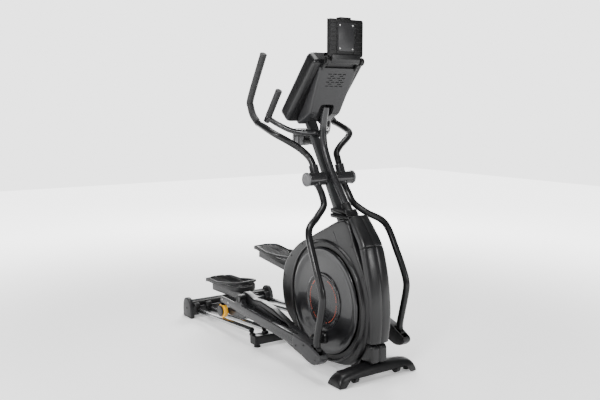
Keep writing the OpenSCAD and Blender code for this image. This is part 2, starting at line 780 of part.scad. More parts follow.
plate_x = [490, 502];
plate_z = [1600, 1786];
module tablet_holder() {
    color(plastic_black) {
        difference() {
            union() {
                box([plate_x[0], -108, plate_z[0]], [plate_x[1], 108, plate_z[1]]);
                box([450, -100, plate_z[0] + 6], [plate_x[0], 100, plate_z[0] + 11]);
                box([450, -100, plate_z[0] + 11], [454, 100, plate_z[0] + 22]);
                box([plate_x[0], -90, hinge_p[1]], [plate_x[1], 90, plate_z[0]]);
                bar_y(hinge_p[0], hinge_p[1], 12, -95, 95);
            }
            box([plate_x[0] + 5, -34, plate_z[0] + 60], [plate_x[0] + 9, 34, plate_z[1] + 1]);
        }
        bar_y(hinge_p[0], hinge_p[1], 5, -111, 111);
    }
}
module tablet_lip() {
    color(plastic_grey) {
        box([plate_x[0] + 5.3, -33.5, plate_z[1] - 80], [plate_x[0] + 8.7, 33.5, plate_z[1] + 6]);
        box([462, -33.5, plate_z[1] + 6], [plate_x[0] + 8.7, 33.5, plate_z[1] + 10]);
        box([462, -33.5, plate_z[1] - 4], [466, 33.5, plate_z[1] + 6]);
    }
}

// ---- Build ----
main_frame();
front_stabilizer();
stabilizer_cover();
boot_cover();
right_shroud();
left_shroud();
spine_cover();
shroud_screws();
mast();
mast_collar();
console_tube();
pivot_axle();
axle_caps();
guide_rails();
rear_stabilizer();
tube_end_caps();
mid_foot();
crank_bearings();
drive_belt();
brake_magnet();
control_board();
power_inlet();
console_frame();
console_back();
display();
fixed_handlebar();
fixed_grips();
bottle_holder();
crank_axle();
drive_pulley();
right_crank_disc();
left_crank_disc();
flywheel();
idler_pulley();
right_pedal_arm();
left_pedal_arm();
right_rollers();
left_rollers();
right_foot_arm();
left_foot_arm();
right_foot_cover();
left_foot_cover();
right_pedal();
left_pedal();
right_sleeve();
left_sleeve();
right_lower_arm();
left_lower_arm();
right_upper_bar();
left_upper_bar();
right_grip();
left_grip();
right_transport_wheel();
left_transport_wheel();
right_leveler();
left_leveler();
tablet_holder();
tablet_lip();
start_button();
stop_button();
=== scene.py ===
import json
import bpy
import bmesh
from math import asin, atan2, cos, pi, radians, sin, tan
from mathutils import Matrix, Vector

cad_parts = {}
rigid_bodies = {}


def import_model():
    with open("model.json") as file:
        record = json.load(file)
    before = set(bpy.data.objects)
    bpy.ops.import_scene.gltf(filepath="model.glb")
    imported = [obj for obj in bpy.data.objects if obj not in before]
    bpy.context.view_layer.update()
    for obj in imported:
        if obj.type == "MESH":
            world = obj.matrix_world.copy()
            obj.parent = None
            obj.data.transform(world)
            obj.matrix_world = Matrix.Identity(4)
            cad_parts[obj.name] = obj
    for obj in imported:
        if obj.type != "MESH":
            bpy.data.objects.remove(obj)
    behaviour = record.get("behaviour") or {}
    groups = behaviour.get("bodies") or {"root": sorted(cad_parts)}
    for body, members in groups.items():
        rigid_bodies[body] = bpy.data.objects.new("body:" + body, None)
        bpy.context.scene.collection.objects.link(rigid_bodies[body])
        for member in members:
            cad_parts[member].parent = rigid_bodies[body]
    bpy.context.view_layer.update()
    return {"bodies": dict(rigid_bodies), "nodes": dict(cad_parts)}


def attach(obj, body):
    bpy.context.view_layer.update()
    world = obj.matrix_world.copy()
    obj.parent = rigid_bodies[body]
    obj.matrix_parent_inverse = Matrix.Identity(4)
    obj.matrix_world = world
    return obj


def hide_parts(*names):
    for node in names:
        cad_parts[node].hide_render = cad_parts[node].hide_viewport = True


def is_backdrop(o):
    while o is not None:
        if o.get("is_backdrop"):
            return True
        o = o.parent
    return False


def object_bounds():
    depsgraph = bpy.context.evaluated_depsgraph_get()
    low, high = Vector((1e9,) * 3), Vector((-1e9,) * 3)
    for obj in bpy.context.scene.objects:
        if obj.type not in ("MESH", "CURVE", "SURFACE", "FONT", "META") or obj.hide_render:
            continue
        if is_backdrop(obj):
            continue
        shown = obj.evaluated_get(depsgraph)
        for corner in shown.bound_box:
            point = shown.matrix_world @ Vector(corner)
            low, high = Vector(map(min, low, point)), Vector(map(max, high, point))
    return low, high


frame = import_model()
MM = 0.001
POINT = 0.02          # smallest radius of a ring, so that a tip never closes to a point
V = Vector


# ---- geometry helpers, in millimetres
def new():
    return bmesh.new()


def to_metres(bm):
    """Turns the faces outwards and scales a shape drawn in millimetres."""
    bmesh.ops.recalc_face_normals(bm, faces=bm.faces)
    bmesh.ops.scale(bm, vec=(MM, MM, MM), verts=bm.verts)


def mesh_of(name, bm):
    me = bpy.data.meshes.new(name)
    bm.to_mesh(me)
    bm.free()
    return me


def link(name, data):
    """Adds an object with this data to the scene."""
    o = bpy.data.objects.new(name, data)
    bpy.context.scene.collection.objects.link(o)
    return o


def finish(name, bm, node, mat, smooth=40, bevel=0.0, segments=3):
    """Turns a bmesh into a piece that stands for one CAD node and rides on that node's body."""
    bmesh.ops.remove_doubles(bm, verts=bm.verts, dist=0.0005)
    to_metres(bm)
    if bevel:
        sharp = [e for e in bm.edges if len(e.link_faces) == 2
                 and e.calc_face_angle(0) > radians(smooth)]
        bmesh.ops.bevel(bm, geom=sharp, offset=bevel * MM, segments=segments, profile=0.6,
                        affect='EDGES', clamp_overlap=True)
    me = mesh_of(name, bm)
    me.materials.append(mat)
    me.shade_smooth()
    me.set_sharp_from_angle(angle=radians(smooth))
    o = link(name, me)
    parent = frame["nodes"][node].parent
    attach(o, next(body for body, empty in frame["bodies"].items() if empty == parent))
    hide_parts(node)
    return o


def turns(n):
    """The n angles of a full turn."""
    return [2 * pi * k / n for k in range(n)]


def quarter(steps):
    """A quarter round of radius 1, from its flat face: (depth below the face, how far it is drawn in)."""
    angles = [pi / 2 * (1 - i / steps) for i in range(steps + 1)]
    return [(1 - sin(a), 1 - cos(a)) for a in angles]


def rings_to(bm, rings, caps=True):
    """Skins a list of closed rings of equal count."""
    vs = [[bm.verts.new(V(p)) for p in r] for r in rings]
    n = len(rings[0])
    for a, b in zip(vs, vs[1:]):
        for k in range(n):
            m = (k + 1) % n
            bm.faces.new((a[k], b[k], b[m], a[m]))
    if caps:
        bm.faces.new(vs[0])
        bm.faces.new(list(reversed(vs[-1])))


def add_tube(bm, path, radius, sides=40, squash=(1, 1)):
    """Tube along a path. radius is a number or one for each point."""
    pts = [V(p) for p in path]
    rad = radius if isinstance(radius, list) else [radius] * len(pts)
    n, side, rings = len(pts), None, []
    for i in range(n):
        t = (pts[min(i + 1, n - 1)] - pts[max(i - 1, 0)]).normalized()
        side = t.cross(V((0.2, 1, 0.1))) if side is None else side - t * side.dot(t)
        side.normalize()
        up = t.cross(side)
        rings.append([pts[i] + rad[i] * (squash[0] * cos(a) * side + squash[1] * sin(a) * up)
                      for a in turns(sides)])
    rings_to(bm, rings)


def add_lathe(bm, profile, x, z, sign=1, sides=128):
    """Turned shape about the line along Y through (x, z). profile is a list of (radius, y)."""
    rings_to(bm, [[(x + max(r, POINT) * cos(a), sign * y, z + max(r, POINT) * sin(a))
                   for a in turns(sides)] for r, y in profile])


def add_turned(bm, profile, base, axis, sides=64):
    """Turned shape about any axis. profile is a list of (radius, distance along the axis)."""
    axis = V(axis).normalized()
    u = axis.orthogonal().normalized()
    w = axis.cross(u)
    rings_to(bm, [[V(base) + axis * d + max(r, POINT) * (cos(a) * u + sin(a) * w)
                   for a in turns(sides)] for r, d in profile])


def add_slab(bm, outline, y0, y1, edge=0.0, steps=4):
    """Prism of an X-Z outline between two Y planes, with rounded long edges."""
    edge = min(edge, (y1 - y0) / 2 - 0.01)
    round_edge = quarter(steps)[:-1] if edge > 0 else []
    levels = [(y0 + edge * u, edge * v) for u, v in round_edge]
    levels += [(y0 + edge, 0), (y1 - edge, 0)]
    levels += [(y1 - edge * u, edge * v) for u, v in round_edge[::-1]]
    rings_to(bm, [[(p[0], y, p[1]) for p in inset(outline, d)] for y, d in levels])


def add_box(bm, a, b):
    """Box between two opposite corners."""
    c = [V((x, y, z)) for x in (a[0], b[0]) for y in (a[1], b[1]) for z in (a[2], b[2])]
    vs = [bm.verts.new(p) for p in c]
    for f in ((0, 1, 3, 2), (4, 6, 7, 5), (0, 4, 5, 1), (2, 3, 7, 6), (0, 2, 6, 4), (1, 5, 7, 3)):
        bm.faces.new([vs[i] for i in f])


def area(p):
    """Signed area of a closed outline."""
    return sum(a[0] * b[1] - b[0] * a[1] for a, b in zip(p, p[1:] + p[:1])) / 2


def inset(outline, d):
    """Moves each point of a closed outline inwards by d, along its corner's bisector."""
    if abs(d) < 1e-6:
        return list(outline)
    n, s, out = len(outline), 1 if area(list(outline)) > 0 else -1, []
    for i, p in enumerate(outline):
        a, b = V(outline[i - 1]), V(outline[(i + 1) % n])
        p = V(p)
        e, f = (p - a).normalized(), (b - p).normalized()
        m = V((-(e.y + f.y), e.x + f.x))
        if m.length < 1e-6:
            m = V((-e.y, e.x))
        m.normalize()
        k = max(0.55, m.dot(V((-e.y, e.x))))
        out.append(tuple(p + m * (s * d / k)))
    return out


def spline(p, steps=8, closed=False):
    """Smooth line through the points."""
    p = [V(q) for q in p]
    n, out = len(p), []
    for i in range(n if closed else n - 1):
        a, b, c, d = ((p[(i - 1) % n], p[i], p[(i + 1) % n], p[(i + 2) % n]) if closed else
                      (p[max(i - 1, 0)], p[i], p[i + 1], p[min(i + 2, n - 1)]))
        for j in range(steps):
            t = j / steps
            out.append(0.5 * ((2 * b) + (c - a) * t + (2 * a - 5 * b + 4 * c - d) * t * t
                              + (3 * b - a - 3 * c + d) * t ** 3))
    return [tuple(q) for q in (out if closed else out + [p[-1]])]


def rounded(outline, r, steps=5):
    """Replaces each corner of an outline by an arc of about radius r."""
    out, n = [], len(outline)
    for i, p in enumerate(outline):
        a, p, b = V(outline[i - 1]), V(p), V(outline[(i + 1) % n])
        u, w = (a - p), (b - p)
        k = min(r, u.length * 0.45, w.length * 0.45)
        s, e = p + u.normalized() * k, p + w.normalized() * k
        for j in range(steps + 1):
            t = j / steps
            out.append(tuple((1 - t) ** 2 * s + 2 * t * (1 - t) * p + t * t * e))
    return out


def rect(x0, z0, x1, z1, r, steps):
    """Rounded rectangle between two opposite corners."""
    return rounded([(x0, z0), (x1, z0), (x1, z1), (x0, z1)], r, steps)


def arc(cx, cz, r, a0, a1, n=16):
    """Points of an arc from a0 to a1 degrees."""
    return [(cx + r * cos(radians(a0 + (a1 - a0) * i / n)),
             cz + r * sin(radians(a0 + (a1 - a0) * i / n))) for i in range(n + 1)]


# ---- materials, all procedural
def material(name, colour, rough, metal=0.0, coat=0.0, grain=900.0, bump=0.05, mottle=0.08,
             tone=0.10, stretch=None, kind="noise", sheen=0.0, sub=0.0, spec=0.28):
    """Surface with a fine grain in its height and a broad mottle in its tone and roughness."""
    m = bpy.data.materials.new(name)
    m.use_nodes = True
    nt = m.node_tree
    p = nt.nodes["Principled BSDF"]
    p.inputs["Metallic"].default_value = metal
    p.inputs["Coat Weight"].default_value = coat
    p.inputs["Coat Roughness"].default_value = 0.06
    p.inputs["Specular IOR Level"].default_value = spec
    p.inputs["Subsurface Weight"].default_value = sub
    p.inputs["Subsurface Scale"].default_value = 0.01
    p.inputs["Sheen Weight"].default_value = sheen

    def node(kind, **kw):
        n = nt.nodes.new(kind)
        for k, v in kw.items():
            if k in n.inputs:
                n.inputs[k].default_value = v
            else:
                setattr(n, k, v)
        return n
    co = node("ShaderNodeTexCoord")
    mp = node("ShaderNodeMapping")
    nt.links.new(co.outputs["Object"], mp.inputs["Vector"])
    if stretch:
        mp.inputs["Scale"].default_value = stretch
    big = node("ShaderNodeTexNoise", Scale=9.0, Detail=6.0, Roughness=0.6)
    fine = (node("ShaderNodeTexVoronoi", Scale=grain) if kind == "cells"
            else node("ShaderNodeTexNoise", Scale=grain, Detail=4.0, Roughness=0.65))
    nt.links.new(co.outputs["Object"], big.inputs["Vector"])
    nt.links.new(mp.outputs["Vector"], fine.inputs["Vector"])
    fine_out = fine.outputs["Distance"] if kind == "cells" else fine.outputs[0]
    c = V(colour)
    ramp = node("ShaderNodeMix", data_type='RGBA')
    ramp.inputs["A"].default_value = (*(c * (1 - tone)), 1)
    ramp.inputs["B"].default_value = (*(c * (1 + tone)), 1)
    mixed = node("ShaderNodeMath", operation='MULTIPLY_ADD')
    mixed.inputs[1].default_value = 0.35
    nt.links.new(fine_out, mixed.inputs[0])
    nt.links.new(big.outputs[0], mixed.inputs[2])
    nt.links.new(mixed.outputs[0], ramp.inputs["Factor"])
    nt.links.new(ramp.outputs["Result"], p.inputs["Base Color"])
    rr = node("ShaderNodeMapRange")
    rr.inputs["To Min"].default_value = max(0.02, rough - mottle)
    rr.inputs["To Max"].default_value = rough + mottle
    nt.links.new(big.outputs[0], rr.inputs["Value"])
    nt.links.new(rr.outputs["Result"], p.inputs["Roughness"])
    bp = node("ShaderNodeBump", Strength=bump, Distance=0.0006)
    nt.links.new(fine_out, bp.inputs["Height"])
    nt.links.new(bp.outputs["Normal"], p.inputs["Normal"])
    return m


PAINT = material("paint_charcoal", (0.007, 0.007, 0.0075), 0.30, metal=0.10, coat=0.05, grain=1400, bump=0.10)
MAST = material("paint_mast", (0.030, 0.031, 0.032), 0.42, metal=0.10, grain=1400, bump=0.10)
ARM = material("paint_arm", (0.015, 0.015, 0.016), 0.28, metal=0.10, coat=0.08, grain=1300, bump=0.10)
SATIN = material("satin_socket", (0.018, 0.018, 0.019), 0.22, metal=0.15, coat=0.25, grain=1200, bump=0.06)
SHELL = material("shell_black", (0.006, 0.006, 0.0065), 0.36, coat=0.03, grain=2200, bump=0.12)
SPINE = material("shell_satin", (0.008, 0.008, 0.0085), 0.33, coat=0.06, grain=2000, bump=0.10)
# black plastic, also used as painted shade in gaps and in cut hollows
BLACK_AND_SHADE = material("plastic_black", (0.0030, 0.0030, 0.0032), 0.40, grain=1800, bump=0.16)
DARK = material("plastic_dark", (0.006, 0.006, 0.0064), 0.34, grain=1800, bump=0.14)
GREY = material("plastic_grey", (0.018, 0.018, 0.019), 0.40, grain=1700, bump=0.12)
LIGHT = material("plastic_light", (0.085, 0.085, 0.088), 0.34, grain=1700, bump=0.10)
GLOSS = material("gloss_black", (0.007, 0.007, 0.008), 0.31, coat=0.35, grain=700, bump=0.02, mottle=0.04)
HUB = material("gloss_hub", (0.010, 0.010, 0.011), 0.26, coat=0.25, grain=700, bump=0.03, mottle=0.05)
CHROME = material("chrome", (0.40, 0.405, 0.41), 0.20, metal=1.0, grain=260, bump=0.02, mottle=0.04,
                  tone=0.04, stretch=(1, 14, 14))
STEEL = material("brushed_steel", (0.48, 0.48, 0.49), 0.30, metal=1.0, grain=300, bump=0.06,
                 stretch=(22, 1, 1))
# zinc for bolts and screws, also used for a painted highlight strip on the outer foot tubes
ZINC_AND_HIGHLIGHT = material("zinc_bolt_and_painted_highlight", (0.55, 0.55, 0.54), 0.34, metal=1.0, grain=800, bump=0.08)
RUBBER = material("rubber", (0.009, 0.009, 0.0095), 0.62, grain=900, bump=0.25, spec=0.35)
FOAM = material("foam_grip", (0.006, 0.006, 0.0064), 0.60, grain=1500, bump=0.45, kind="cells", sheen=0.15,
                spec=0.35)
PEDAL = material("pedal_rubber", (0.009, 0.009, 0.0095), 0.52, grain=650, bump=0.5, kind="cells", spec=0.4)
AMBER = material("amber_urethane", (0.86, 0.42, 0.025), 0.30, coat=0.2, sub=0.15, grain=500, bump=0.05)
ORANGE = material("orange_ring", (0.42, 0.055, 0.018), 0.35, coat=0.3, grain=800, bump=0.05)
GLASS = material("display_glass", (0.012, 0.014, 0.018), 0.08, coat=0.9, grain=300, bump=0.004, mottle=0.03)
TILE = material("display_tile", (0.05, 0.16, 0.24), 0.30, coat=0.5, grain=900, bump=0.03)
IRON = material("cast_iron", (0.10, 0.10, 0.10), 0.55, metal=0.8, grain=420, bump=0.4)
BOARD = material("board_green", (0.02, 0.12, 0.05), 0.40, coat=0.3, grain=500, bump=0.2, kind="cells")
GREEN = material("key_green", (0.03, 0.30, 0.08), 0.32, coat=0.3, grain=900, bump=0.06)
RED = material("key_red", (0.42, 0.03, 0.03), 0.32, coat=0.3, grain=900, bump=0.06)
# bright metallic skin for the console's rounded front edge: a painted highlight
EDGE_HIGHLIGHT = material("painted_edge_highlight", (0.22, 0.22, 0.23), 0.22, metal=0.6, grain=900, bump=0.03)

# ---- shared dimensions, in millimetres
SIDES = (("right", -1), ("left", 1))
CRANK = (435, 340)     # X and Z of the crank's axis
RING = (440, 340)      # middle of the round housing rim
DOME = (420, 345)      # point that the housing's side rises towards
AXLE = (366, 976)      # X and Z of the swing arms' axle
LEAN = radians(30.7)   # mast from the vertical
RAIL_TILT = radians(3.8)
RAIL_DIR = V((cos(RAIL_TILT), 0, sin(RAIL_TILT)))
RAIL_REAR = (-706, 50)  # X and Z of the rails' rear end
RAIL_Y = (180, 264)
SWING = (640, 160)     # X and Z of the joint between swing arm and foot arm
CRANK_THROW = 200      # crank pin from the crank's axis
ARM_LEN = 785          # crank pin from the roller axle
ROLLER_X = (-350, -240)
ROLLER_R = 42
RAIL_R = 16
PIVOT_OFF = (230, 120)  # foot arm's pivot from the roller axle, with the pedal arm level
SWING_Y = 270
INNER_Y = 168
PEDAL_Y = 170
GRIP_Y = 256
WHEEL = (766, 32)      # X and Z of the transport wheels' axles
WING_X = 746           # middle of the front cover
WING_Z = 4             # its lower edge
HAND_Y = 200
BOTTLE = (106, 0, 1140)
HOUSING = [(4, 334), (36, 474), (150, 590), (286, 660), (415, 722), (536, 776), (612, 776), (673, 661),
           (751, 521), (790, 406), (776, 240), (725, 120), (640, 44), (520, 18), (400, 18), (270, 56),
           (140, 122), (40, 205)]
OUTLINE = spline(HOUSING, 10, closed=True)


def rail_z(x):
    """Height of a rail's centre line."""
    return RAIL_REAR[1] + (x - RAIL_REAR[0]) * tan(RAIL_TILT)


def span(s, a, b):
    """The Y range from a to b on the side of sign s, low end first."""
    return tuple(sorted((s * a, s * b)))


def mast_point(z, forward=0.0):
    """A point on the mast's centre plane at height z, moved forward along its normal."""
    return V((AXLE[0] - (z - AXLE[1]) * tan(LEAN) + forward * cos(LEAN), 0,
              z + forward * sin(LEAN)))


def add_bar(bm, a, b, half_w, half_t, corner, steps=5):
    """Rounded rectangular bar from a to b. half_w lies along Y."""
    a, b = V(a), V(b)
    t = (b - a).normalized()
    n = t.cross(V((0, 1, 0))).normalized()
    flat = rect(-half_w, -half_t, half_w, half_t, corner, steps)
    rings_to(bm, [[p + V((0, u, 0)) + n * v for u, v in flat] for p in (a, b)])


def screw(bm, base, axis, r, h, socket=0.5):
    """Domed screw head with a six-sided socket."""
    axis = V(axis).normalized()
    u = axis.orthogonal().normalized()
    w = axis.cross(u)

    def ring(rad, d, six=False):
        out = []
        for k in range(36):
            a = 2 * pi * k / 36
            q = rad
            if six:
                q = rad * cos(pi / 6) / cos((a % (pi / 3)) - pi / 6)
            out.append(V(base) + axis * d + q * (cos(a) * u + sin(a) * w))
        return out
    rings_to(bm, [ring(r, 0), ring(r, h * 0.45), ring(r * 0.93, h * 0.8), ring(r * 0.78, h),
                  ring(r * socket * 1.12, h), ring(r * socket, h * 0.92, True),
                  ring(r * socket, h * 0.25, True)])


# ---- frame
bm = new()
add_bar(bm, (-702, 0, 42), (705.5, 0, 42), 30, 20, 5)
finish("base_beam", bm, "main_frame", PAINT, 50)
bm = new()
plate = rounded([(330, 70), (700, 70), (745, 300), (700, 400), (560, 690), (500, 700), (470, 440),
                 (380, 400), (350, 300)], 14, 4)
for lo, hi in ((-46, -40), (40, 46)):
    add_slab(bm, plate, lo, hi, 1.0, 2)
add_box(bm, (330, -46, 62), (700, 46, 70))
finish("drive_plates", bm, "main_frame", PAINT)
bm = new()
for x in (-696, -30, 52, 322):
    add_bar(bm, (x, 0, 42), (x + 5, 0, 42), 31.6, 21.6, 5)
finish("beam_welds", bm, "main_frame", PAINT, 50)

# arched cover of the front stabiliser
crest = [(0, 86), (60, 84.6), (120, 80), (165, 75), (202, 69), (219, 62), (232, 52), (240, 40),
         (244.5, 26), (246, 6)]
side_profile = spline([(690, 4), (691.5, 34), (697, 56), (708, 73), (726, 84), (752, 88), (776, 82),
                       (790, 68), (798, 46), (802, 4)], 5)


def wing_rings(offset):
    """Sections of the arched cover, all drawn in by an offset."""
    rows = []
    ys = [(-y, z) for y, z in crest[:0:-1]] + crest
    for y, top in spline(ys, 4):
        k = (top - WING_Z) / 84
        squeeze = 1 - 0.10 * max(0, (abs(y) - 190) / 56) ** 2
        t = min(1.0, max(0.0, (214 - abs(y)) / 34))
        foot = WING_Z + 36 * t * t * (3 - 2 * t)
        rows.append([(WING_X + (x - WING_X) * squeeze * (1 - offset / 56), y * (1 - offset / 246),
                      max(foot, WING_Z + (z - WING_Z) * k * (1 - offset / 82))) for x, z in side_profile])
    return rows


bm = new()
outer, inner = wing_rings(0), wing_rings(4)
rings_to(bm, [a + b[::-1] for a, b in zip(outer, inner)])
finish("wing_cover", bm, "stabilizer_cover", SHELL, 42)
bm = new()
for s in (-1, 1):
    rings_to(bm, [[(WING_X + (x - WING_X) * k, s * y, WING_Z + (z - WING_Z) * h) for x, z in side_profile]
                  for y, k, h in ((236, 0.93, 0.44), (242, 0.925, 0.36), (245, 0.91, 0.26))])
finish("wing_ends", bm, "stabilizer_cover", DARK, 42)

# boot where the cover meets the housing
bm = new()
boot = [(650, 87), (648, 128), (664, 150), (700, 178), (716, 182), (772, 182), (788, 177), (796, 164),
        (798, 87)]
add_slab(bm, rounded(boot, 16, 6), -50, -0.9, 12, 6)
add_slab(bm, rounded(boot, 16, 6), 0.9, 50, 12, 6)
finish("boot", bm, "boot_cover", SPINE, 35)
bm = new()
add_slab(bm, inset(rounded(boot, 16, 6), 4), -40, 40, 2)
finish("boot_core", bm, "boot_cover", BLACK_AND_SHADE)

# housing halves, ring and screws
SCREWS = [(30, 400), (105, 525), (215, 608), (655, 660), (735, 520), (765, 300), (690, 110), (45, 235),
          (165, 130)]
for side, s in SIDES:
    bm = new()
    levels = [(1.6, 3.0), (1.0, 0.6), (2.4, 0.0), (40, -0.5), (55, 0.0)]
    levels += [(70 - 15 * u, 13 * v) for u, v in quarter(8)[7:0:-1]]
    rings = [[(p[0], s * y, p[1]) for p in inset(OUTLINE, d)] for y, d in levels]
    rim = inset(OUTLINE, 13)
    for k in range(9):
        t = k / 9
        rings.append([(DOME[0] + (p[0] - DOME[0]) * (1 - t), s * (70 + 2.2 * sin(t * pi / 2)),
                       DOME[1] + (p[1] - DOME[1]) * (1 - t)) for p in rim])
    rings_to(bm, rings)
    finish(side + "_housing", bm, side + "_shroud", SHELL, 38)
    bm = new()
    add_lathe(bm, [(325, 68), (324, 72), (321.5, 75.5), (319, 80), (316.5, 83), (314, 84), (311.5, 83.4),
                   (309, 81), (307.4, 77), (307, 71)], *RING, s, 180)
    finish(side + "_housing_ring", bm, side + "_shroud", SPINE, 60)
    # black ring in the gap between the housing ring and the disc: painted shade in the gap
    bm = new()
    add_lathe(bm, [(306.4, 74.2), (306.4, 73.4), (285, 72.8), (285, 74.2)], *RING, s, 160)
    finish(side + "_ring_gap_shade", bm, side + "_shroud", BLACK_AND_SHADE, 60)
    bm = new()
    crease = spline([(500, 716), (548, 640), (610, 560), (664, 486)], 6)
    add_slab(bm, crease + [(x - 3, z - 3) for x, z in crease[::-1]], *span(s, 69.5, 71.6), 0.6, 2)
    slim = [(24, 292), (60, 214), (64, 216), (31, 288)]
    add_slab(bm, rounded(slim, 2, 3), *span(s, 69, 71.6), 0.6, 2)
    add_slab(bm, rounded([(60, 214), (70, 226), (38, 284), (34, 282), (63, 226), (56, 220)], 2, 3),
             *span(s, 69, 71.4), 0.6, 2)
    finish(side + "_housing_accents", bm, side + "_shroud", GREY)
bm = new()
for s in (-1, 1):
    for x, z in SCREWS:
        screw(bm, (x, s * 70.1, z), (0, s, 0), 4.5, 2.3)
finish("housing_screws", bm, "shroud_screws", DARK, 35)

# crowned cover down the housing's front, in two lengths
SPINE_LINE = spline([(634, 812), (688, 752), (746, 672), (790, 534), (811, 400), (814.5, 280), (806, 190)],
                    40)
section = [(65, 42), (65, 24), (64, 17), (61, 11.5), (56, 7.6), (48, 5.0), (36, 2.6), (20, 0.9), (3, 0.0),
           (1.2, 1.4)]
full = [(-y, d) for y, d in section] + [(0, 2.0)] + section[::-1]


def spine_part(name, lo, hi):
    """One length of the crowned cover, between two heights."""
    line = [V(p) for p in SPINE_LINE]
    keep = [i for i, p in enumerate(line) if lo <= p.y <= hi]
    rings = []
    for i in keep:
        p = line[i]
        t = (line[min(i + 1, len(line) - 1)] - line[max(i - 1, 0)]).normalized()
        n = V((t.y, -t.x))
        if n.x > 0:
            n = -n
        drop = 1.4 if i in (keep[0], keep[-1]) else 0
        narrow = 1.0 - 0.16 * max(0.0, (p.y - 640) / 170) - 0.10 * max(0.0, (330 - p.y) / 140)
        rings.append([(p.x + n.x * (d + drop), y * narrow, p.y + n.y * (d + drop)) for y, d in full])
    b = new()
    rings_to(b, rings)
    finish(name, b, "spine_cover", SPINE, 46)


spine_part("spine_upper", 672, 830)
spine_part("spine_lower", 180, 671.9)

# mast, console tube and collar
bm = new()
add_bar(bm, mast_point(566), mast_point(1299), 30, 15, 4.5)
finish("mast_tube", bm, "mast", MAST, 50)
TUBE = spline([(578, 0, 742), (545, 0, 795), (512, 0, 848), (453, 0, 924), (390, 0, 1008), (344, 0, 1087),
               (317, 0, 1152), (309, 0, 1245), (332, 0, 1350)], 12)
bm = new()
add_tube(bm, TUBE, 19, 56)
finish("console_post", bm, "console_tube", ARM, 50)
bm = new()
add_turned(bm, [(6, -19), (9, -18.4), (10.5, -12), (10.5, -9), (8, -7.4), (6.4, -7), (6.4, 2)],
           (277, 0, 1186), (-0.86, 0, -0.35), 48)
finish("mast_cable_ring", bm, "console_tube", CHROME)
bm = new()
add_slab(bm, rounded([(437, 779.5), (598, 779.5), (589, 801), (431, 801)], 7, 4), -46, 46, 7)
finish("collar_base", bm, "mast_collar", DARK, 35)
bm = new()
add_slab(bm, rounded([(429, 802), (576, 802), (553, 830), (470, 834), (425, 828)], 8, 4), -40, 40, 8)
finish("collar_step", bm, "mast_collar", SHELL, 35)
bm = new()
axis = V((504 - 545, 0, 858 - 796))
add_turned(bm, [(22, 0), (27, 0.5), (28.5, 4), (28.5, 10), (26.6, 13), (26.6, 62), (25.4, 68), (22.5, 71),
                (19.4, 71)], (545, 0, 796), axis, 72)
finish("collar_sleeve", bm, "mast_collar", BLACK_AND_SHADE, 35)

# swing axle caps
bm = new()
for s in (-1, 1):
    add_lathe(bm, [(10, 140.3), (36, 140.3), (37, 141.6), (37, 149), (35.6, 152), (33, 153.6), (29.5, 154),
                   (28.6, 153.1), (26, 152.6), (12, 152.9), (0, 153.4)], *AXLE, s, 96)
finish("swing_caps", bm, "axle_caps", LIGHT, 35)

# rails with their end plugs
bm = new()
for s in (-1, 1):
    for y in RAIL_Y:
        base = V((-699, s * y, rail_z(-699)))
        add_turned(bm, [(10, 0), (15.6, 0), (16, 0.6), (16, 685.5), (15.6, 686.6), (13.5, 686.6)],
                   base, RAIL_DIR, 72)
finish("rails", bm, "guide_rails", CHROME, 45)
bm = new()
for s in (-1, 1):
    for y in RAIL_Y:
        base = V((-12.3, s * y, rail_z(-12.3)))
        add_turned(bm, [(13, 0), (16.3, 0), (16.8, 0.8), (16.8, 4), (15.6, 5.6), (12, 6.2), (0, 6.4)],
                   base, RAIL_DIR, 64)
finish("rail_plugs", bm, "tube_end_caps", BLACK_AND_SHADE)

# rear stabiliser with ribs, saddles and tall end caps
bm = new()
add_box(bm, (-812, -289, 20), (-703, 289, 76))
finish("rear_beam", bm, "rear_stabilizer", GLOSS, bevel=7, segments=4)
bm = new()
for x in (-794, -775, -756, -740):
    top = 104 - abs(x + 770) * 0.1
    add_slab(bm, rounded([(x - 4, 70), (x - 4, top), (x + 4, top), (x + 4, 70)], 3, 3), -289, 289, 2)
add_slab(bm, rounded([(-800, 60), (-797, 96), (-786, 100), (-742, 100), (-733, 94), (-726, 60)], 5, 3),
         -289, 289, 2)
finish("rear_ribs", bm, "rear_stabilizer", BLACK_AND_SHADE, 38)
bm = new()
for s in (-1, 1):
    for y in RAIL_Y:
        add_slab(bm, rounded([(-728, 40), (-726, 92), (-712, 98), (-690, 72), (-688, 40)], 7, 4),
                 *span(s, y - 20, y + 20), 6)
finish("rail_saddles", bm, "rear_stabilizer", DARK, 38)
cap = [(-813, 0.2), (-815, 3), (-815, 62), (-811, 92), (-800, 114), (-782, 125), (-764, 127), (-745, 124),
       (-728, 111), (-713, 88), (-704, 58), (-698, 3), (-700, 0.2)]
bm = new()
for s in (-1, 1):
    add_slab(bm, spline(cap[1:-1], 4) + [cap[-1], cap[0]], *span(s, 290, 313.5), 6, 5)
finish("rear_end_caps", bm, "tube_end_caps", GREY)
bm = new()
for s in (-1, 1):
    add_slab(bm, spline(cap[1:-1], 4) + [cap[-1], cap[0]], *span(s, 287.2, 289.7), 0.8, 2)
    screw(bm, (-757, s * 313.4, 62), (0, s, 0), 7, 2.2)
finish("rear_cap_seals", bm, "tube_end_caps", RUBBER)

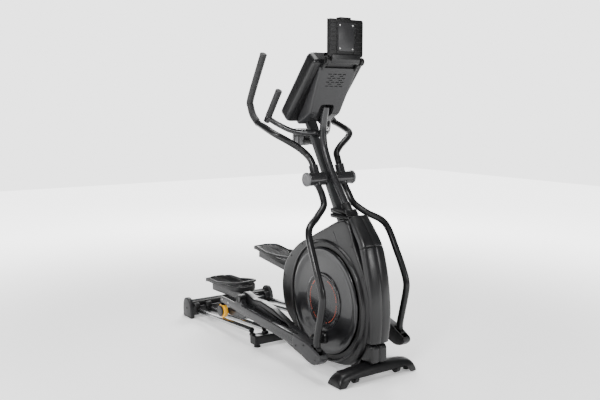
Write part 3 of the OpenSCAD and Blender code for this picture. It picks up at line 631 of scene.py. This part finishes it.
# middle foot, foot pads and transport wheels
bm = new()
for s in (-1, 1):
    lo, hi = span(s, 30.3, 262)
    add_box(bm, (-20, lo, 20), (40, hi, 70))
finish("mid_tube", bm, "mid_foot", PAINT, bevel=5)
bm = new()
for s in (-1, 1):
    for y in RAIL_Y:
        add_slab(bm, rounded([(-22, 66), (-20, 79), (-12, 82), (10, 83), (14, 79), (16, 66)], 3, 3),
                 *span(s, max(y - 13, 30), min(y + 13, 276)), 3)
finish("mid_saddles", bm, "mid_foot", BLACK_AND_SHADE, 38)
bm = new()
for s in (-1, 1):
    add_slab(bm, rounded([(-22, 18.5), (-22, 72), (42, 72), (42, 18.5)], 14, 5), *span(s, 262.3, 270), 3, 4)
finish("mid_end_caps", bm, "tube_end_caps", BLACK_AND_SHADE)
for side, s in SIDES:
    bm = new()
    add_turned(bm, [(15, 0), (19.4, 0.4), (20, 2), (20, 6), (18, 8.4), (8, 9.4), (6, 9.6), (6, 20)],
               (10, s * 240, 0), (0, 0, 1), 64)
    finish(side + "_foot_pad", bm, side + "_leveler", RUBBER, 38)
    bm = new()
    add_lathe(bm, [(5.3, 121.6), (9, 121.2), (10, 121), (24, 121), (25.6, 122.4), (26, 125), (26, 141),
                   (25.6, 143.6), (24, 145), (10, 145), (9, 144.8), (5.3, 144.4)], *WHEEL, s, 80)
    finish(side + "_wheel", bm, side + "_transport_wheel", RUBBER, 38)
    bm = new()
    add_lathe(bm, [(6, 120.5), (15, 120.4), (16, 121.4), (16, 122), (6, 122)], *WHEEL, s, 64)
    add_lathe(bm, [(6, 144), (16, 144), (16, 144.8), (15, 145.6), (6, 145.5)], *WHEEL, s, 64)
    finish(side + "_wheel_hub", bm, side + "_transport_wheel", GREY, 38)

# ---- console
SPOT = Matrix.Translation((133, 0, 1329)) @ Matrix.Rotation(radians(41.4), 4, 'Y')
HINGE = (489, 1579)


def place(bm, m):
    """Moves a shape that was drawn level or flat to where it belongs."""
    bmesh.ops.transform(bm, matrix=m, verts=bm.verts)
    return bm


def panel(half_w, z0, z1, r):
    """Rounded Y-Z rectangle about the middle plane."""
    return rect(-half_w, z0, half_w, z1, r, 8)


def carve(o, cutter):
    """Cuts a closed shape, drawn in millimetres, out of a piece, with black cut faces as painted shade in the
    hollow.
    """
    to_metres(cutter)
    me = mesh_of("cutter", cutter)
    c = link("cutter", me)
    md = o.modifiers.new("cut", 'BOOLEAN')
    md.object, md.operation, md.solver = c, 'DIFFERENCE', 'EXACT'
    me.materials.append(BLACK_AND_SHADE)
    cut = bpy.data.meshes.new_from_object(o.evaluated_get(bpy.context.evaluated_depsgraph_get()))
    o.modifiers.clear()
    old = o.data
    o.data = cut
    bpy.data.meshes.remove(old)
    bpy.data.objects.remove(c)


bm = new()
wide, opening = panel(160, -12, 402, 34), panel(134, 24, 376, 12)
rings = [[(82 - 24 * u, *p) for p in inset(wide, 20 * v)] for u, v in quarter(8)]
rings = [[(82, *p) for p in inset(wide, 26)]] + rings
rings += [[(13 * u, *p) for p in inset(wide, 11 * v)] for u, v in quarter(6)[::-1]]
rings += [[(0.0, *p) for p in inset(opening, -2)], [(1.0, *p) for p in opening], [(9, *p) for p in opening]]
rings_to(bm, rings)
finish("console_body", place(bm, SPOT), "console_frame", DARK)
# bright skin laid over the body's rounded front edge: a painted highlight along the edge
bm = new()
rings_to(bm, [[(x, *p) for p in inset(wide, d)] for x, d in ((12.5, 1.0), (12.5, -0.2), (11, -0.5),
                                                             (7, 0.6), (4.4, 2.2), (2.4, 4.4),
                                                             (2.4, 6.5))], caps=False)
finish("console_edge_highlight", place(bm, SPOT), "console_frame", EDGE_HIGHLIGHT, 45)
bm = new()
for s in (-1, 1):
    screw(bm, (46, s * 159.8, 196), (0, s, 0), 5, 2.2)
    # black strips beside the back cover: painted shade in the gap between the frame and the back cover
    add_slab(bm, rect(80.5, 30, 84, 366, 1, 2), *span(s, 120, 132), 1, 2)
finish("console_screws_and_gap_shade", place(bm, SPOT), "console_frame", BLACK_AND_SHADE, 35)

# back cover: wedge with vents, pocket for the post and hinge ears
bm = new()
depth = [(-4, 100), (2, 103), (100, 146), (110, 149.5), (118, 150.4), (128, 149.6), (358, 95.5), (368, 91)]
rows = []
for z, d in depth:
    w = 90 + 28 * (z + 10) / 380
    corner = [(-w, 80)] + [(-w + 9 * v, d - 9 * u) for u, v in quarter(6)[::-1]]
    rows.append([(x, y, z) for y, x in corner] + [(x, -y, z) for y, x in corner[::-1]])
rings_to(bm, rows)
back = finish("console_back_cover", place(bm, SPOT), "console_back", GREY, 32)
bm = new()
slope = atan2(149.6 - 95.5, 358 - 128)
for row in range(7):
    z = 338 - row * 11
    x = 149.6 - (z - 128) * tan(slope)
    for y in ((-45, -15, 15, 45) if row % 2 == 0 else (-30, 30)):
        flat = rect(-11, -2.1, 11, 2.1, 2, 3)
        rings_to(bm, [[(x + e, y + u, z + v) for u, v in flat] for e in (-5, 4)])
carve(back, place(bm, SPOT))
bm = new()
pocket = rect(-46, -30, 46, 168, 24, 6)
rings_to(bm, [[(x, *p) for p in pocket] for x in (84, 190)])
carve(back, place(bm, SPOT))
bm = new()
for s in (-1, 1):
    screw(bm, (149.2, s * 78, 122), (1, 0, 0.05), 4.2, 2)
finish("back_screws", place(bm, SPOT), "console_back", DARK, 35)
bm = new()
for s in (-1, 1):
    add_lathe(bm, [(5.2, 97), (17, 97), (20, 99), (21, 102), (21, 112), (20, 115), (17.5, 116.8),
                   (13, 117.2), (12, 116), (5.2, 116)], *HINGE, s, 72)
finish("hinge_knobs", bm, "console_back", BLACK_AND_SHADE, 35)
bm = new()
for s in (-1, 1):
    lo, hi = span(s, 98.5, 111.5)
    add_slab(bm, rounded([(80, 352), (97, 352), (102, 404), (92, 420), (80, 404)], 5, 4), lo, hi, 3)
finish("hinge_ears", place(bm, SPOT), "console_back", DARK, 35)

# display with plain tiles, and the two keys
bm = new()
pane = panel(133.4, 24.6, 375.4, 11)
rings_to(bm, [[(x, *p) for p in inset(pane, d)] for x, d in ((9, 0), (2.2, 0), (1.2, 0.8), (1.0, 2))])
finish("display_pane", place(bm, SPOT), "display", GLASS)
bm = new()
tiles = [(-118, 300, -44, 352), (-36, 300, 36, 352), (44, 300, 118, 352), (-118, 226, 118, 290),
         (-118, 190, -64, 218), (-56, 190, -4, 218), (4, 190, 56, 218), (64, 190, 118, 218)]
for tile in tiles:
    t = rect(*tile, 5, 4)
    rings_to(bm, [[(1.02, *p) for p in t], [(0.86, *p) for p in inset(t, 0.4)]])
for k in range(15):
    h = 8 + 30 * abs(sin(k * 0.55))
    t = rect(-108 + k * 15, 234, -99 + k * 15, 234 + h, 2, 2)
    rings_to(bm, [[(x, *p) for p in t] for x in (0.86, 0.7)])
finish("display_tiles", place(bm, SPOT), "display", TILE)
bm = new()
for row in range(3):
    for k in range(6):
        t = rect(-112 + k * 38, 150 - row * 38, -80 + k * 38, 176 - row * 38, 6, 4)
        rings_to(bm, [[(1.02, *p) for p in t], [(0.4, *p) for p in inset(t, 0.3)],
                      [(0.2, *p) for p in inset(t, 1.2)]])
finish("display_keys", place(bm, SPOT), "display", DARK)
for name, s, mat, slot in (("start", -1, GREEN, "start_cap"), ("stop", 1, RED, "stop_cap")):
    bm = new()
    add_turned(bm, [(0, -2.6), (5, -2.45), (7.2, -1.9), (7.9, -0.9), (8, 0.3), (8, 5.4), (9.9, 5.6),
                    (9.9, 7.4)], (0, s * 26, 6), (1, 0, 0), 56)
    finish(name + "_key", place(bm, SPOT), name + "_button", mat)

# tablet holder: ribbed frame, grey panel, ledge and sliding lip
bm = new()
ring_out, ring_in = panel(108, 1600, 1786, 12), panel(88, 1622, 1768, 8)
rings_to(bm, [[(502 - 2 * u, *p) for p in inset(ring_out, 2 * v)] for u, v in quarter(3)] +
         [[(490 + 2 * u, *p) for p in inset(ring_out, 2 * v)] for u, v in quarter(3)[::-1]] +
         [[(490, *p) for p in ring_in], [(494.5, *p) for p in ring_in]])
finish("holder_frame", bm, "tablet_holder", BLACK_AND_SHADE)
bm = new()
rib = [(500, 0), (504.5, 1), (504.5, 3), (500, 4)]
for k in range(7):
    z = 1630 + k * 22
    for lo, hi in ((-104, -60), (60, 104)):
        add_slab(bm, rounded([(x, z + h) for x, h in rib], 1, 2), lo, hi, 0.8, 2)
for s in (-1, 1):
    add_slab(bm, rounded([(499, 1606), (507, 1612), (507, 1774), (499, 1780)], 3, 3), *span(s, 99, 105), 2)
    add_slab(bm, rounded([(499, 1612), (505, 1616), (505, 1772), (499, 1776)], 2, 3), *span(s, 52, 58), 2)
add_slab(bm, rounded([(484, 1566), (497, 1566), (507, 1585), (507, 1612), (499, 1618), (488, 1604)], 5, 4),
         -90, 90, 3)
add_lathe(bm, [(5, -95), (11, -95), (12, -94), (12, 94), (11, 95), (5, 95)], *HINGE, 1, 64)
finish("holder_ribs", bm, "tablet_holder", DARK, 38)
bm = new()
mid = panel(50, 1628, 1768, 6)
rings_to(bm, [[(x, *p) for p in inset(mid, d)] for x, d in ((500, 0), (503, 0), (504, 0.4), (504.6, 1.2))])
for s in (-1, 1):
    add_slab(bm, rounded([(487.5, 1602), (490.5, 1600), (490.5, 1786), (487.5, 1784)], 1, 2),
             *span(s, 104, 108.4), 1, 2)
finish("holder_panel", bm, "tablet_holder", GREY, 38)
bm = new()
for s in (-1, 1):
    for z in (1640, 1756):
        screw(bm, (504.4, s * 40, z), (1, 0, 0), 4, 2)
finish("holder_screws", bm, "tablet_holder", ZINC_AND_HIGHLIGHT, 35)
bm = new()
add_slab(bm, rounded([(450, 1606), (450, 1622), (454, 1622), (455, 1611.5), (491, 1611.5), (491, 1606)],
                     1.6, 3), -100, 100, 2.5)
finish("holder_ledge", bm, "tablet_holder", BLACK_AND_SHADE, 38)
bm = new()
add_slab(bm, rounded([(462, 1782), (462, 1794.5), (464, 1796), (498.7, 1796), (498.7, 1706), (495.4, 1706),
                      (495.4, 1791.7), (466, 1791.7), (466, 1782)], 1.4, 3), -33.4, 33.4, 1.4, 3)
for y in (-22, -11, 0, 11, 22):
    add_slab(bm, rounded([(461, 1784), (461, 1794), (462.5, 1794), (462.5, 1784)], 0.6, 2), y - 2, y + 2,
             0.6, 2)
finish("lip_clip", bm, "tablet_lip", DARK, 38)

# fixed handlebar, its grips and the bottle holder
BAR = [(74, -200, 1292), (118, -172, 1262), (176, -126, 1228), (226, -84, 1215), (262, -40, 1214),
       (262, 40, 1214), (226, 84, 1215), (176, 126, 1228), (118, 172, 1262), (74, 200, 1292)]
bm = new()
add_tube(bm, spline(BAR, 12), 15, 48)
finish("handlebar_loop", bm, "fixed_handlebar", ARM, 50)
grip_dir = V((100, 0, 128)).normalized()
bm = new()
for s in (-1, 1):
    add_turned(bm, [(9, -2), (15.5, -1.4), (17.6, 1), (18, 4), (18, 34), (17, 37.5), (13.4, 38.6)],
               (60, s * HAND_Y, 1273), V((24, 0, 31)), 64)
    add_turned(bm, [(13, 0), (13, 158)], (84, s * HAND_Y, 1304), grip_dir, 48)
finish("handlebar_sockets", bm, "fixed_handlebar", SATIN, 42)
bm = new()
for s in (-1, 1):
    body = [(18.2 + 0.25 * cos(k * pi), 9 + k * 2.0) for k in range(74)]
    add_turned(bm, [(13.6, 1), (18.6, 1), (19.2, 2), (19.2, 6), (18.4, 7.6)] + body +
               [(18.4, 158), (18.8, 160), (18.8, 164), (17, 167.4), (12, 168.8), (4, 169), (0, 169)],
               (84, s * HAND_Y, 1304), grip_dir, 64)
finish("handlebar_foam", bm, "fixed_grips", FOAM, 50)
bm = new()
add_turned(bm, [(46, 4), (46, 91), (47, 92), (58, 92), (60, 90.4), (60, 86.4), (58.6, 84.6), (51.6, 83),
                (50.4, 79), (50.2, 52), (48.8, 50), (46.6, 50)], BOTTLE, (0, 0, 1), 96)
finish("bottle_rim", bm, "bottle_holder", BLACK_AND_SHADE, 38)
bm = new()
add_turned(bm, [(0, 0.4), (32, 0.4), (41, 1.6), (47, 6), (49.6, 13), (50, 49.6), (46.4, 49.6), (46, 10),
                (42, 5), (0, 4)], BOTTLE, (0, 0, 1), 96)
finish("bottle_bowl", bm, "bottle_holder", LIGHT, 38)
bm = new()
for k in range(10):
    a = 2 * pi * (k + 0.5) / 10
    turn = Matrix.Translation((BOTTLE[0], 0, 0)) @ Matrix.Rotation(a, 4, 'Z')
    before = len(bm.verts)
    add_slab(bm, rounded([(49, 1146), (51.6, 1150), (51.6, 1222), (49, 1224)], 1.2, 3), -3.5, 3.5, 1.5)
    bm.verts.ensure_lookup_table()
    bmesh.ops.transform(bm, matrix=turn, verts=bm.verts[before:])
add_bar(bm, (150, 0, 1166), (238, 0, 1160), 22, 14, 6)
finish("bottle_ribs", bm, "bottle_holder", DARK, 42)

# ---- crank discs
for side, s in SIDES:
    node = side + "_crank_disc"
    bm = new()
    add_lathe(bm, [(12.6, 77), (150, 77), (278, 77), (282, 77.6), (283, 79.5), (282.4, 82), (280, 84.6),
                   (276, 86.6), (271, 87.6), (265, 87.4), (258, 86.2), (250, 84.2), (243, 82.6),
                   (236, 82.0), (200, 82.6), (160, 83.6), (152, 83.9), (12.6, 83.9)], *CRANK, s, 220)
    finish(side + "_disc", bm, node, GLOSS, 32)
    bm = new()
    add_lathe(bm, [(30, 83), (149, 83), (150, 84), (150, 86), (148.4, 89.4), (145, 91.2), (140, 91.4),
                   (135.5, 90), (133, 88.4), (131, 88), (129.8, 87.2), (128.6, 88), (100, 88.3),
                   (60, 88.5), (20, 88.6), (0, 88.6)], *CRANK, s, 180)
    finish(side + "_hub", bm, node, HUB, 26)
    bm = new()
    for k in range(60):
        if 13 <= k < 18 or 43 <= k < 47 or k % 12 == 0:
            continue
        a0, a1 = k * 6 + 0.7, k * 6 + 5.2
        add_slab(bm, arc(*CRANK, 119, a0, a1, 4) + arc(*CRANK, 116.2, a1, a0, 4), *span(s, 88.0, 88.9),
                 0.3, 2)
    finish(side + "_hub_dashes", bm, node, ORANGE)
    bm = new()
    pz = CRANK[1] + s * CRANK_THROW
    add_lathe(bm, [(0, 80), (33, 80), (34, 82), (34, 90), (31, 93), (28.6, 96), (28, 100), (28, 146),
                   (26, 149.6), (13, 150), (12, 151.6), (12, 234), (10.5, 236.8), (0, 237)], CRANK[0], pz,
              s, 96)
    finish(side + "_crank_pin", bm, node, DARK, 35)

# ---- pedal arms and rollers
ARM_PTS = [(-34, -16), (60, -22), (200, -16), (290, 40), (407, 52), (560, 12), (700, -40), (785, -52),
           (838, -40), (842, 30), (800, 50), (727, 56), (640, 86), (520, 120), (407, 135), (320, 128),
           (262, 146), (230, 154), (196, 140), (186, 90), (160, 30), (100, 18), (-34, 18)]
HUMP = [(188, 84), (192, 128), (204, 150), (230, 158), (262, 150), (318, 133), (407, 139), (520, 124),
        (646, 88), (700, 66), (640, 60), (520, 84), (407, 100), (320, 96), (262, 96), (232, 80)]
PIVOT = []
for i, (side, s) in enumerate(SIDES):
    rx = ROLLER_X[i]
    rz = rail_z(rx) + (RAIL_R + ROLLER_R + 0.3) / cos(RAIL_TILT)
    tilt = asin((CRANK[1] + s * CRANK_THROW - rz) / ARM_LEN)
    along, above = PIVOT_OFF
    PIVOT.append((rx + along * cos(tilt) - above * sin(tilt),
                  rz + along * sin(tilt) + above * cos(tilt)))
    lie = Matrix.Translation((rx, 0, rz)) @ Matrix.Rotation(-tilt, 4, 'Y')
    node = side + "_pedal_arm"
    bm = new()
    add_slab(bm, rounded(ARM_PTS, 16, 4), *span(s, 202, 244), 7, 5)
    finish(side + "_arm_beam", place(bm, lie), node, ARM, 42)
    bm = new()
    add_slab(bm, rounded(HUMP, 12, 4), *span(s, 200.6, 245), 8, 5)
    finish(side + "_arm_hump", place(bm, lie), node, DARK)
    bm = new()
    for x, z in ((20, 0), (150, -2), (236, 112), (420, 118), (620, 78), (808, -2), (808, 32), (330, 70),
                 (700, 4)):
        for y, d in ((243.0, s), (202.6, -s)):
            screw(bm, (x, s * y, z), (0, d, 0), 4.6, 2)
    finish(side + "_arm_bolts", place(bm, lie), node, DARK, 35)
    bm = new()
    add_lathe(bm, [(6, 165), (8, 165), (8, 202), (6, 202)], rx, rz, s, 48)
    add_lathe(bm, [(6, 244), (8, 244), (8, 284), (6, 284)], rx, rz, s, 48)
    finish(side + "_roller_axle", bm, node, STEEL, 35)
    bm = new()
    add_lathe(bm, [(8, 281), (14, 281), (14, 284), (33, 284), (34, 285), (34, 287), (32.6, 288),
                   (12, 288.4), (0, 288.6)], rx, rz, s, 80)
    finish(side + "_roller_discs", bm, node, GREY)
    bm = new()
    hood = arc(rx, rz, 47, 196, 62, 24) + arc(rx, rz, 44, 62, 196, 24)
    for lo, hi in ((162, 202), (244, 284)):
        add_slab(bm, hood, *span(s, lo, hi), 0.8, 2)
    for k in range(5):
        a1 = 176 - k * 22
        rib = arc(rx, rz, 48.6, a1, a1 - 4, 2) + arc(rx, rz, 46.6, a1 - 4, a1, 2)
        for lo, hi in ((166, 199), (248, 281)):
            add_slab(bm, rib, *span(s, lo, hi), 0.5, 2)
    finish(side + "_roller_hoods", bm, node, BLACK_AND_SHADE)
    bm = new()
    for y in RAIL_Y:
        add_lathe(bm, [(26, y - 12.4), (38.5, y - 12.6), (40.6, y - 11.6), (42, y - 8.5), (42, y + 8.5),
                       (40.6, y + 11.6), (38.5, y + 12.6), (26, y + 12.4)], rx, rz, s, 120)
    finish(side + "_roller_tyres", bm, side + "_rollers", AMBER, 38)
    bm = new()
    for y in RAIL_Y:
        add_lathe(bm, [(8.3, y - 12.8), (12, y - 12.9), (24, y - 12.2), (26.2, y - 12.6), (26.2, y + 12.6),
                       (24, y + 12.2), (12, y + 12.9), (8.3, y + 12.8)], rx, rz, s, 96)
    finish(side + "_roller_hubs", bm, side + "_rollers", DARK, 38)


# ---- foot arms, covers and pedals
def rake(p):
    """Slope of the line from the swing joint to a pivot."""
    return atan2(p[1] - SWING[1], SWING[0] - p[0])


def tray_z(x, z, d):
    """Height of the pedal's skin: the toe rises, and the heel and nose curl down."""
    rise = 8 * max(0, (x + 440) / 212) ** 1.3 * (1 if d < 9.7 else 0.15) if z > 281 else 0
    return z + rise - 16 * max(0.0, (-540 - x) / 98) ** 1.7 - 9 * max(0.0, (x + 300) / 72) ** 2


LOOP = spline([(-638, -40), (-610, -78), (-490, -88), (-370, -90), (-270, -82), (-228, -40), (-228, 40),
               (-270, 82), (-370, 90), (-490, 88), (-610, 78), (-638, 40)], 8, closed=True)
OUTER_TUBE = [(-352, 196), (-332, 236), (-160, 229), (-135, 278), (-105, 278), (-84, 226), (409, 196),
              (540, 190), (592, 176), (598, 140), (540, 132), (409, 137), (-320, 188)]
END_COVER = [(462, 124), (452, 165), (464, 202), (520, 197), (570, 191), (604, 186), (700, 152),
             (706, 130), (682, 102), (640, 88), (596, 92), (530, 112)]
# height and inset of each ring of the pedal's skin, from its underside round to its floor
SKIN = ((266, 5), (267.5, 1.5), (271, 0), (280, 0), (286, 0.4), (289, 2), (290, 5), (289, 8), (284, 9.6),
        (282.6, 13))
for i, (side, s) in enumerate(SIDES):
    a, b = PIVOT[0], PIVOT[i]
    lie = (Matrix.Translation((b[0], 0, b[1])) @ Matrix.Rotation(rake(b) - rake(a), 4, 'Y')
           @ Matrix.Translation((-a[0], 0, -a[1])))
    node = side + "_foot_arm"
    bm = new()
    add_bar(bm, (-632, s * INNER_Y, 214.5), (-96, s * INNER_Y, 231), 22, 24.5, 8)
    tube = finish(side + "_inner_tube", place(bm, lie), node, ARM, 42)
    bm = new()
    add_bar(bm, (-660, s * INNER_Y, 213.6), (-600, s * INNER_Y, 215.5), 19, 21.5, 6)
    carve(tube, place(bm, lie))
    bm = new()
    add_slab(bm, rounded(OUTER_TUBE, 12, 5), *span(s, 247, 286), 7, 5)
    finish(side + "_outer_tube", place(bm, lie), node, ARM, 42)
    bm = new()
    for x, z in ((-318, 211), (-246, 206)):
        screw(bm, (x, s * 285.4, z), (0, s, 0), 5.5, 3)
    # bright zinc strip under the tube's top edge: a painted highlight along the edge
    add_slab(bm, [(-320, 233.2), (-170, 227.6), (-170, 225), (-320, 230.6)], *span(s, 280, 286.6), 0.6, 2)
    finish(side + "_tube_bolts_and_edge_highlight", place(bm, lie), node, ZINC_AND_HIGHLIGHT, 35)
    bm = new()
    add_lathe(bm, [(14, 190), (25, 190), (25, 201.4), (14, 201.4)], *a, s, 72)
    add_lathe(bm, [(14, 245), (24, 245), (25, 246), (25, 287.4), (23.4, 289.6), (18, 290), (16, 288.6),
                   (0, 288.6)], *a, s, 72)
    add_lathe(bm, [(10, 190), (14, 190), (14, 246), (10, 246)], *a, s, 60)
    finish(side + "_pivot_sleeve", place(bm, lie), node, BLACK_AND_SHADE, 36)
    bm = new()
    add_lathe(bm, [(5, 250.6), (7, 250.6), (7, 293), (5, 293)], *SWING, s, 48)
    finish(side + "_swing_bolt", place(bm, lie), node, STEEL, 36)

    node = side + "_foot_cover"
    bm = new()
    add_slab(bm, rounded(END_COVER, 15, 5), *span(s, 245.5, 298), 8, 5)
    cover = finish(side + "_end_cover", place(bm, lie), node, GREY)
    bm = new()
    add_slab(bm, rounded([(612, 101), (612, 240), (690, 240), (696, 136), (677, 108), (640, 99)], 12, 4),
             *span(s, 251.5, 292), 3, 3)
    carve(cover, place(bm, lie))
    bm = new()
    add_slab(bm, rounded([(430, 128), (430, 230), (470, 230), (470, 126)], 2, 2), *span(s, 246.6, 286.4))
    carve(cover, place(bm, lie))
    bm = new()
    for x, z in ((490, 150), (660, 120), (560, 170)):
        screw(bm, (x, s * 297.6, z), (0, s, 0), 4.5, 2.4)
    finish(side + "_cover_screws", place(bm, lie), node, BLACK_AND_SHADE, 35)

    node = side + "_pedal"
    bm = new()
    rows = [[(x, s * PEDAL_Y + y, tray_z(x, z, d)) for x, y in inset(LOOP, d)] for z, d in SKIN]
    rings_to(bm, rows)
    finish(side + "_pedal_tray", place(bm, lie), node, PEDAL, 45)
    bm = new()
    front = [(x, y) for x, y in LOOP[len(LOOP) // 4:] + LOOP[:len(LOOP) // 4] if x > -452]
    front.sort(key=lambda q: atan2(q[1], q[0] + 452))
    hoop = [(x, s * PEDAL_Y + y * 0.97, 284 + 34 * max(0.0, (x + 446) / 218) ** 0.9) for x, y in front]
    add_tube(bm, hoop, 7.5, 24, squash=(1, 1.15))
    finish(side + "_pedal_hoop", place(bm, lie), node, PEDAL, 50)
    bm = new()
    for k in range(21):
        x = -612 + k * 18
        half = 62 if 1 < k < 19 else 44
        for u in (-1, 1):
            add_bar(bm, (x, s * PEDAL_Y + u * 3, 284), (x + 9, s * PEDAL_Y + u * half, 284), 2.6, 2.2, 1.2, 2)
    finish(side + "_pedal_tread", place(bm, lie), node, RUBBER, 45)
    bm = new()
    add_slab(bm, rounded([(-612, 240), (-282, 250), (-270, 268), (-624, 268)], 6, 3), *span(s, 152, 184), 3)
    for x in (-580, -500, -420, -340):
        lo, hi = span(s, 120, 220)
        add_box(bm, (x, lo, 258), (x + 8, hi, 267))
    finish(side + "_pedal_base", place(bm, lie), node, BLACK_AND_SHADE)

# ---- swing arms
LOWER = [(384, 942), (420, 898), (452, 846), (482, 795), (534, 734), (612, 592), (664, 492), (682, 446),
         (684, 408), (668, 330), (640, 215), (640, 179)]
LOWER_Y = [85, 86, 98, 160, 248, 266] + [SWING_Y] * 6
UPPER = [(337, 1046.4), (318, 1077), (293, 1105), (275, 1140), (252, 1181), (220, 1208), (156, 1234),
         (63, 1265)]
UPPER_Y = [85, 89, 101, 140, 205, 244, 256, 256]
GRIP = [(63, 1265), (12, 1304), (-14, 1352), (-12, 1400), (122, 1622)]
for side, s in SIDES:
    bm = new()
    add_lathe(bm, [(11.2, 33.4), (33.6, 33.4), (35, 34.8), (35, 44), (34.2, 45), (34.2, 47), (35, 48),
                   (35, 124), (34.2, 125), (34.2, 127), (35, 128), (35, 136.4), (33.6, 137.8),
                   (11.2, 137.8)], *AXLE, s, 110)
    finish(side + "_pivot_barrel", bm, side + "_sleeve", SATIN, 32)
    bm = new()
    add_turned(bm, [(25.6, 20), (25.6, 33), (25, 35), (25, 70), (24.4, 73.6), (21.5, 75.6), (18, 76)],
               (AXLE[0], s * 85, AXLE[1]), V((-29, 0, 70)), 80)
    add_turned(bm, [(23, 20), (23, 33), (20.6, 37), (20, 39), (18, 40)], (AXLE[0], s * 85, AXLE[1]),
               V((18, 0, -34)), 80)
    finish(side + "_sockets", bm, side + "_sleeve", SATIN, 38)
    low = spline([(x, s * y, z) for (x, z), y in zip(LOWER, LOWER_Y)], 10)
    bm = new()
    add_tube(bm, low, 18, 48)
    finish(side + "_lower_tube", bm, side + "_lower_arm", PAINT, 50)
    bm = new()
    add_lathe(bm, [(16, 256.6), (21.5, 256.6), (23, 258), (23, 282), (21.5, 283.4), (16, 283.4),
                   (16, 256.6)], *SWING, s, 80)
    finish(side + "_lower_eye", bm, side + "_lower_arm", PAINT, 38)
    up = spline([(x, s * y, z) for (x, z), y in zip(UPPER, UPPER_Y)], 12)
    bm = new()
    add_tube(bm, up, 18, 48)
    finish(side + "_upper_tube", bm, side + "_upper_bar", PAINT, 50)
    bm = new()
    t = (V(up[-1]) - V(up[-2])).normalized()
    add_turned(bm, [(15, -5), (18.4, -5), (19.4, -4), (19.6, -1), (19.4, 2), (18, 3)], up[-1], t, 64)
    add_tube(bm, spline([(x, s * GRIP_Y, z) for x, z in GRIP], 10), 13, 32)
    finish(side + "_grip_joint", bm, side + "_upper_bar", BLACK_AND_SHADE, 38)
    path = spline([(x, s * GRIP_Y, z) for x, z in GRIP], 30)
    tip = (V(path[-1]) - V(path[-2])).normalized()
    path = path[2:] + [tuple(V(path[-1]) + tip * k) for k in (2, 4, 6, 8)]
    rad = [19 + 0.22 * cos(k * pi) for k in range(len(path))]
    rad[:2], rad[-5:] = [18.0, 18.9], [19.6, 20.0, 19.8, 18.4, 14.5]
    bm = new()
    add_tube(bm, path, rad, 56)
    finish(side + "_grip_foam", bm, side + "_grip", FOAM, 50)

# ---- finishes for the CAD parts that stay visible
KEEP = {"front_stabilizer": PAINT, "pivot_axle": STEEL, "crank_bearings": STEEL, "drive_belt": RUBBER,
        "brake_magnet": ZINC_AND_HIGHLIGHT, "control_board": BOARD, "power_inlet": BLACK_AND_SHADE, "crank_axle": STEEL,
        "drive_pulley": BLACK_AND_SHADE, "flywheel": IRON, "idler_pulley": DARK}
for name, mat in KEEP.items():
    o = frame["nodes"][name]
    o.data.materials.clear()
    o.data.materials.append(mat)

# ---- stage, light and camera
def smooth_step(tree, source, from_min, from_max, to_min, to_max):
    """Eases a value from one range into another and returns the output socket."""
    n = tree.nodes.new("ShaderNodeMapRange")
    n.interpolation_type = 'SMOOTHSTEP'
    for key, value in (("From Min", from_min), ("From Max", from_max), ("To Min", to_min),
                       ("To Max", to_max)):
        n.inputs[key].default_value = value
    tree.links.new(source, n.inputs["Value"])
    return n.outputs["Result"]


reach = 9000
FLOOR = material("floor_white", (0.90, 0.90, 0.90), 0.65, grain=60, bump=0.004, mottle=0.03, tone=0.01,
                 spec=0.2)
ft = FLOOR.node_tree
fshade = ft.nodes["Principled BSDF"]
fco = ft.nodes.new("ShaderNodeTexCoord")
flen = ft.nodes.new("ShaderNodeVectorMath")
flen.operation = 'LENGTH'
ft.links.new(fco.outputs["Object"], flen.inputs[0])
ft.links.new(smooth_step(ft, flen.outputs["Value"], 1.2, 4.6, 0.35, 3.4), fshade.inputs["Emission Strength"])
fshade.inputs["Emission Color"].default_value = (1, 1, 1, 1)
bm = new()
rings_to(bm, [[(x * reach, y * reach, z) for x, y in ((-1, -1), (1, -1), (1, 1), (-1, 1))] for z in (0, -20)])
to_metres(bm)
floor = link("floor", mesh_of("floor", bm))
floor.data.materials.append(FLOOR)
floor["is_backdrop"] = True


def lamp(name, at, to, size, power, size_y=None):
    """Area light at one point, turned towards another."""
    d = bpy.data.lights.new(name, 'AREA')
    d.shape = 'RECTANGLE'
    d.size, d.size_y, d.energy = size, size_y or size, power
    o = link(name, d)
    o.location = at
    o.rotation_euler = (V(to) - V(at)).to_track_quat('-Z', 'Y').to_euler()


lamp("key", (2.6, -3.8, 3.4), (0.1, 0, 0.8), 0.9, 190)
lamp("front", (4.8, 1.4, 2.2), (0.2, 0, 0.7), 1.1, 80)
lamp("back", (-3.8, 2.8, 3.0), (0, 0, 0.9), 2.0, 190)
lamp("strip", (0.3, -3.4, 1.3), (0.3, 0, 0.6), 0.35, 42, 2.2)
lamp("top", (0.2, 0, 4.6), (0.1, 0, 0), 2.4, 200)
world = bpy.data.worlds.new("studio")
bpy.context.scene.world = world
world.use_nodes = True
wt = world.node_tree
where = wt.nodes.new("ShaderNodeTexCoord")
aim = wt.nodes.new("ShaderNodeVectorMath")
aim.operation = 'DOT_PRODUCT'
aim.inputs[1].default_value = (-0.83, 0.557, 0.0)
wt.links.new(where.outputs["Generated"], aim.inputs[0])
wt.links.new(smooth_step(wt, aim.outputs["Value"], 0.66, 0.86, 0.10, 3.0), wt.nodes["Background"].inputs[1])
wt.nodes["Background"].inputs[0].default_value = (1, 1, 1, 1)
cam_data = bpy.data.cameras.new("camera")
cam = link("camera", cam_data)
cam.location = (3.518, -2.305, 1.350)
cam.rotation_euler = (radians(82.837), 0, radians(56.102))
cam_data.lens, cam_data.sensor_width = 44.4, 36
bpy.context.scene.camera = cam

low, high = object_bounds()
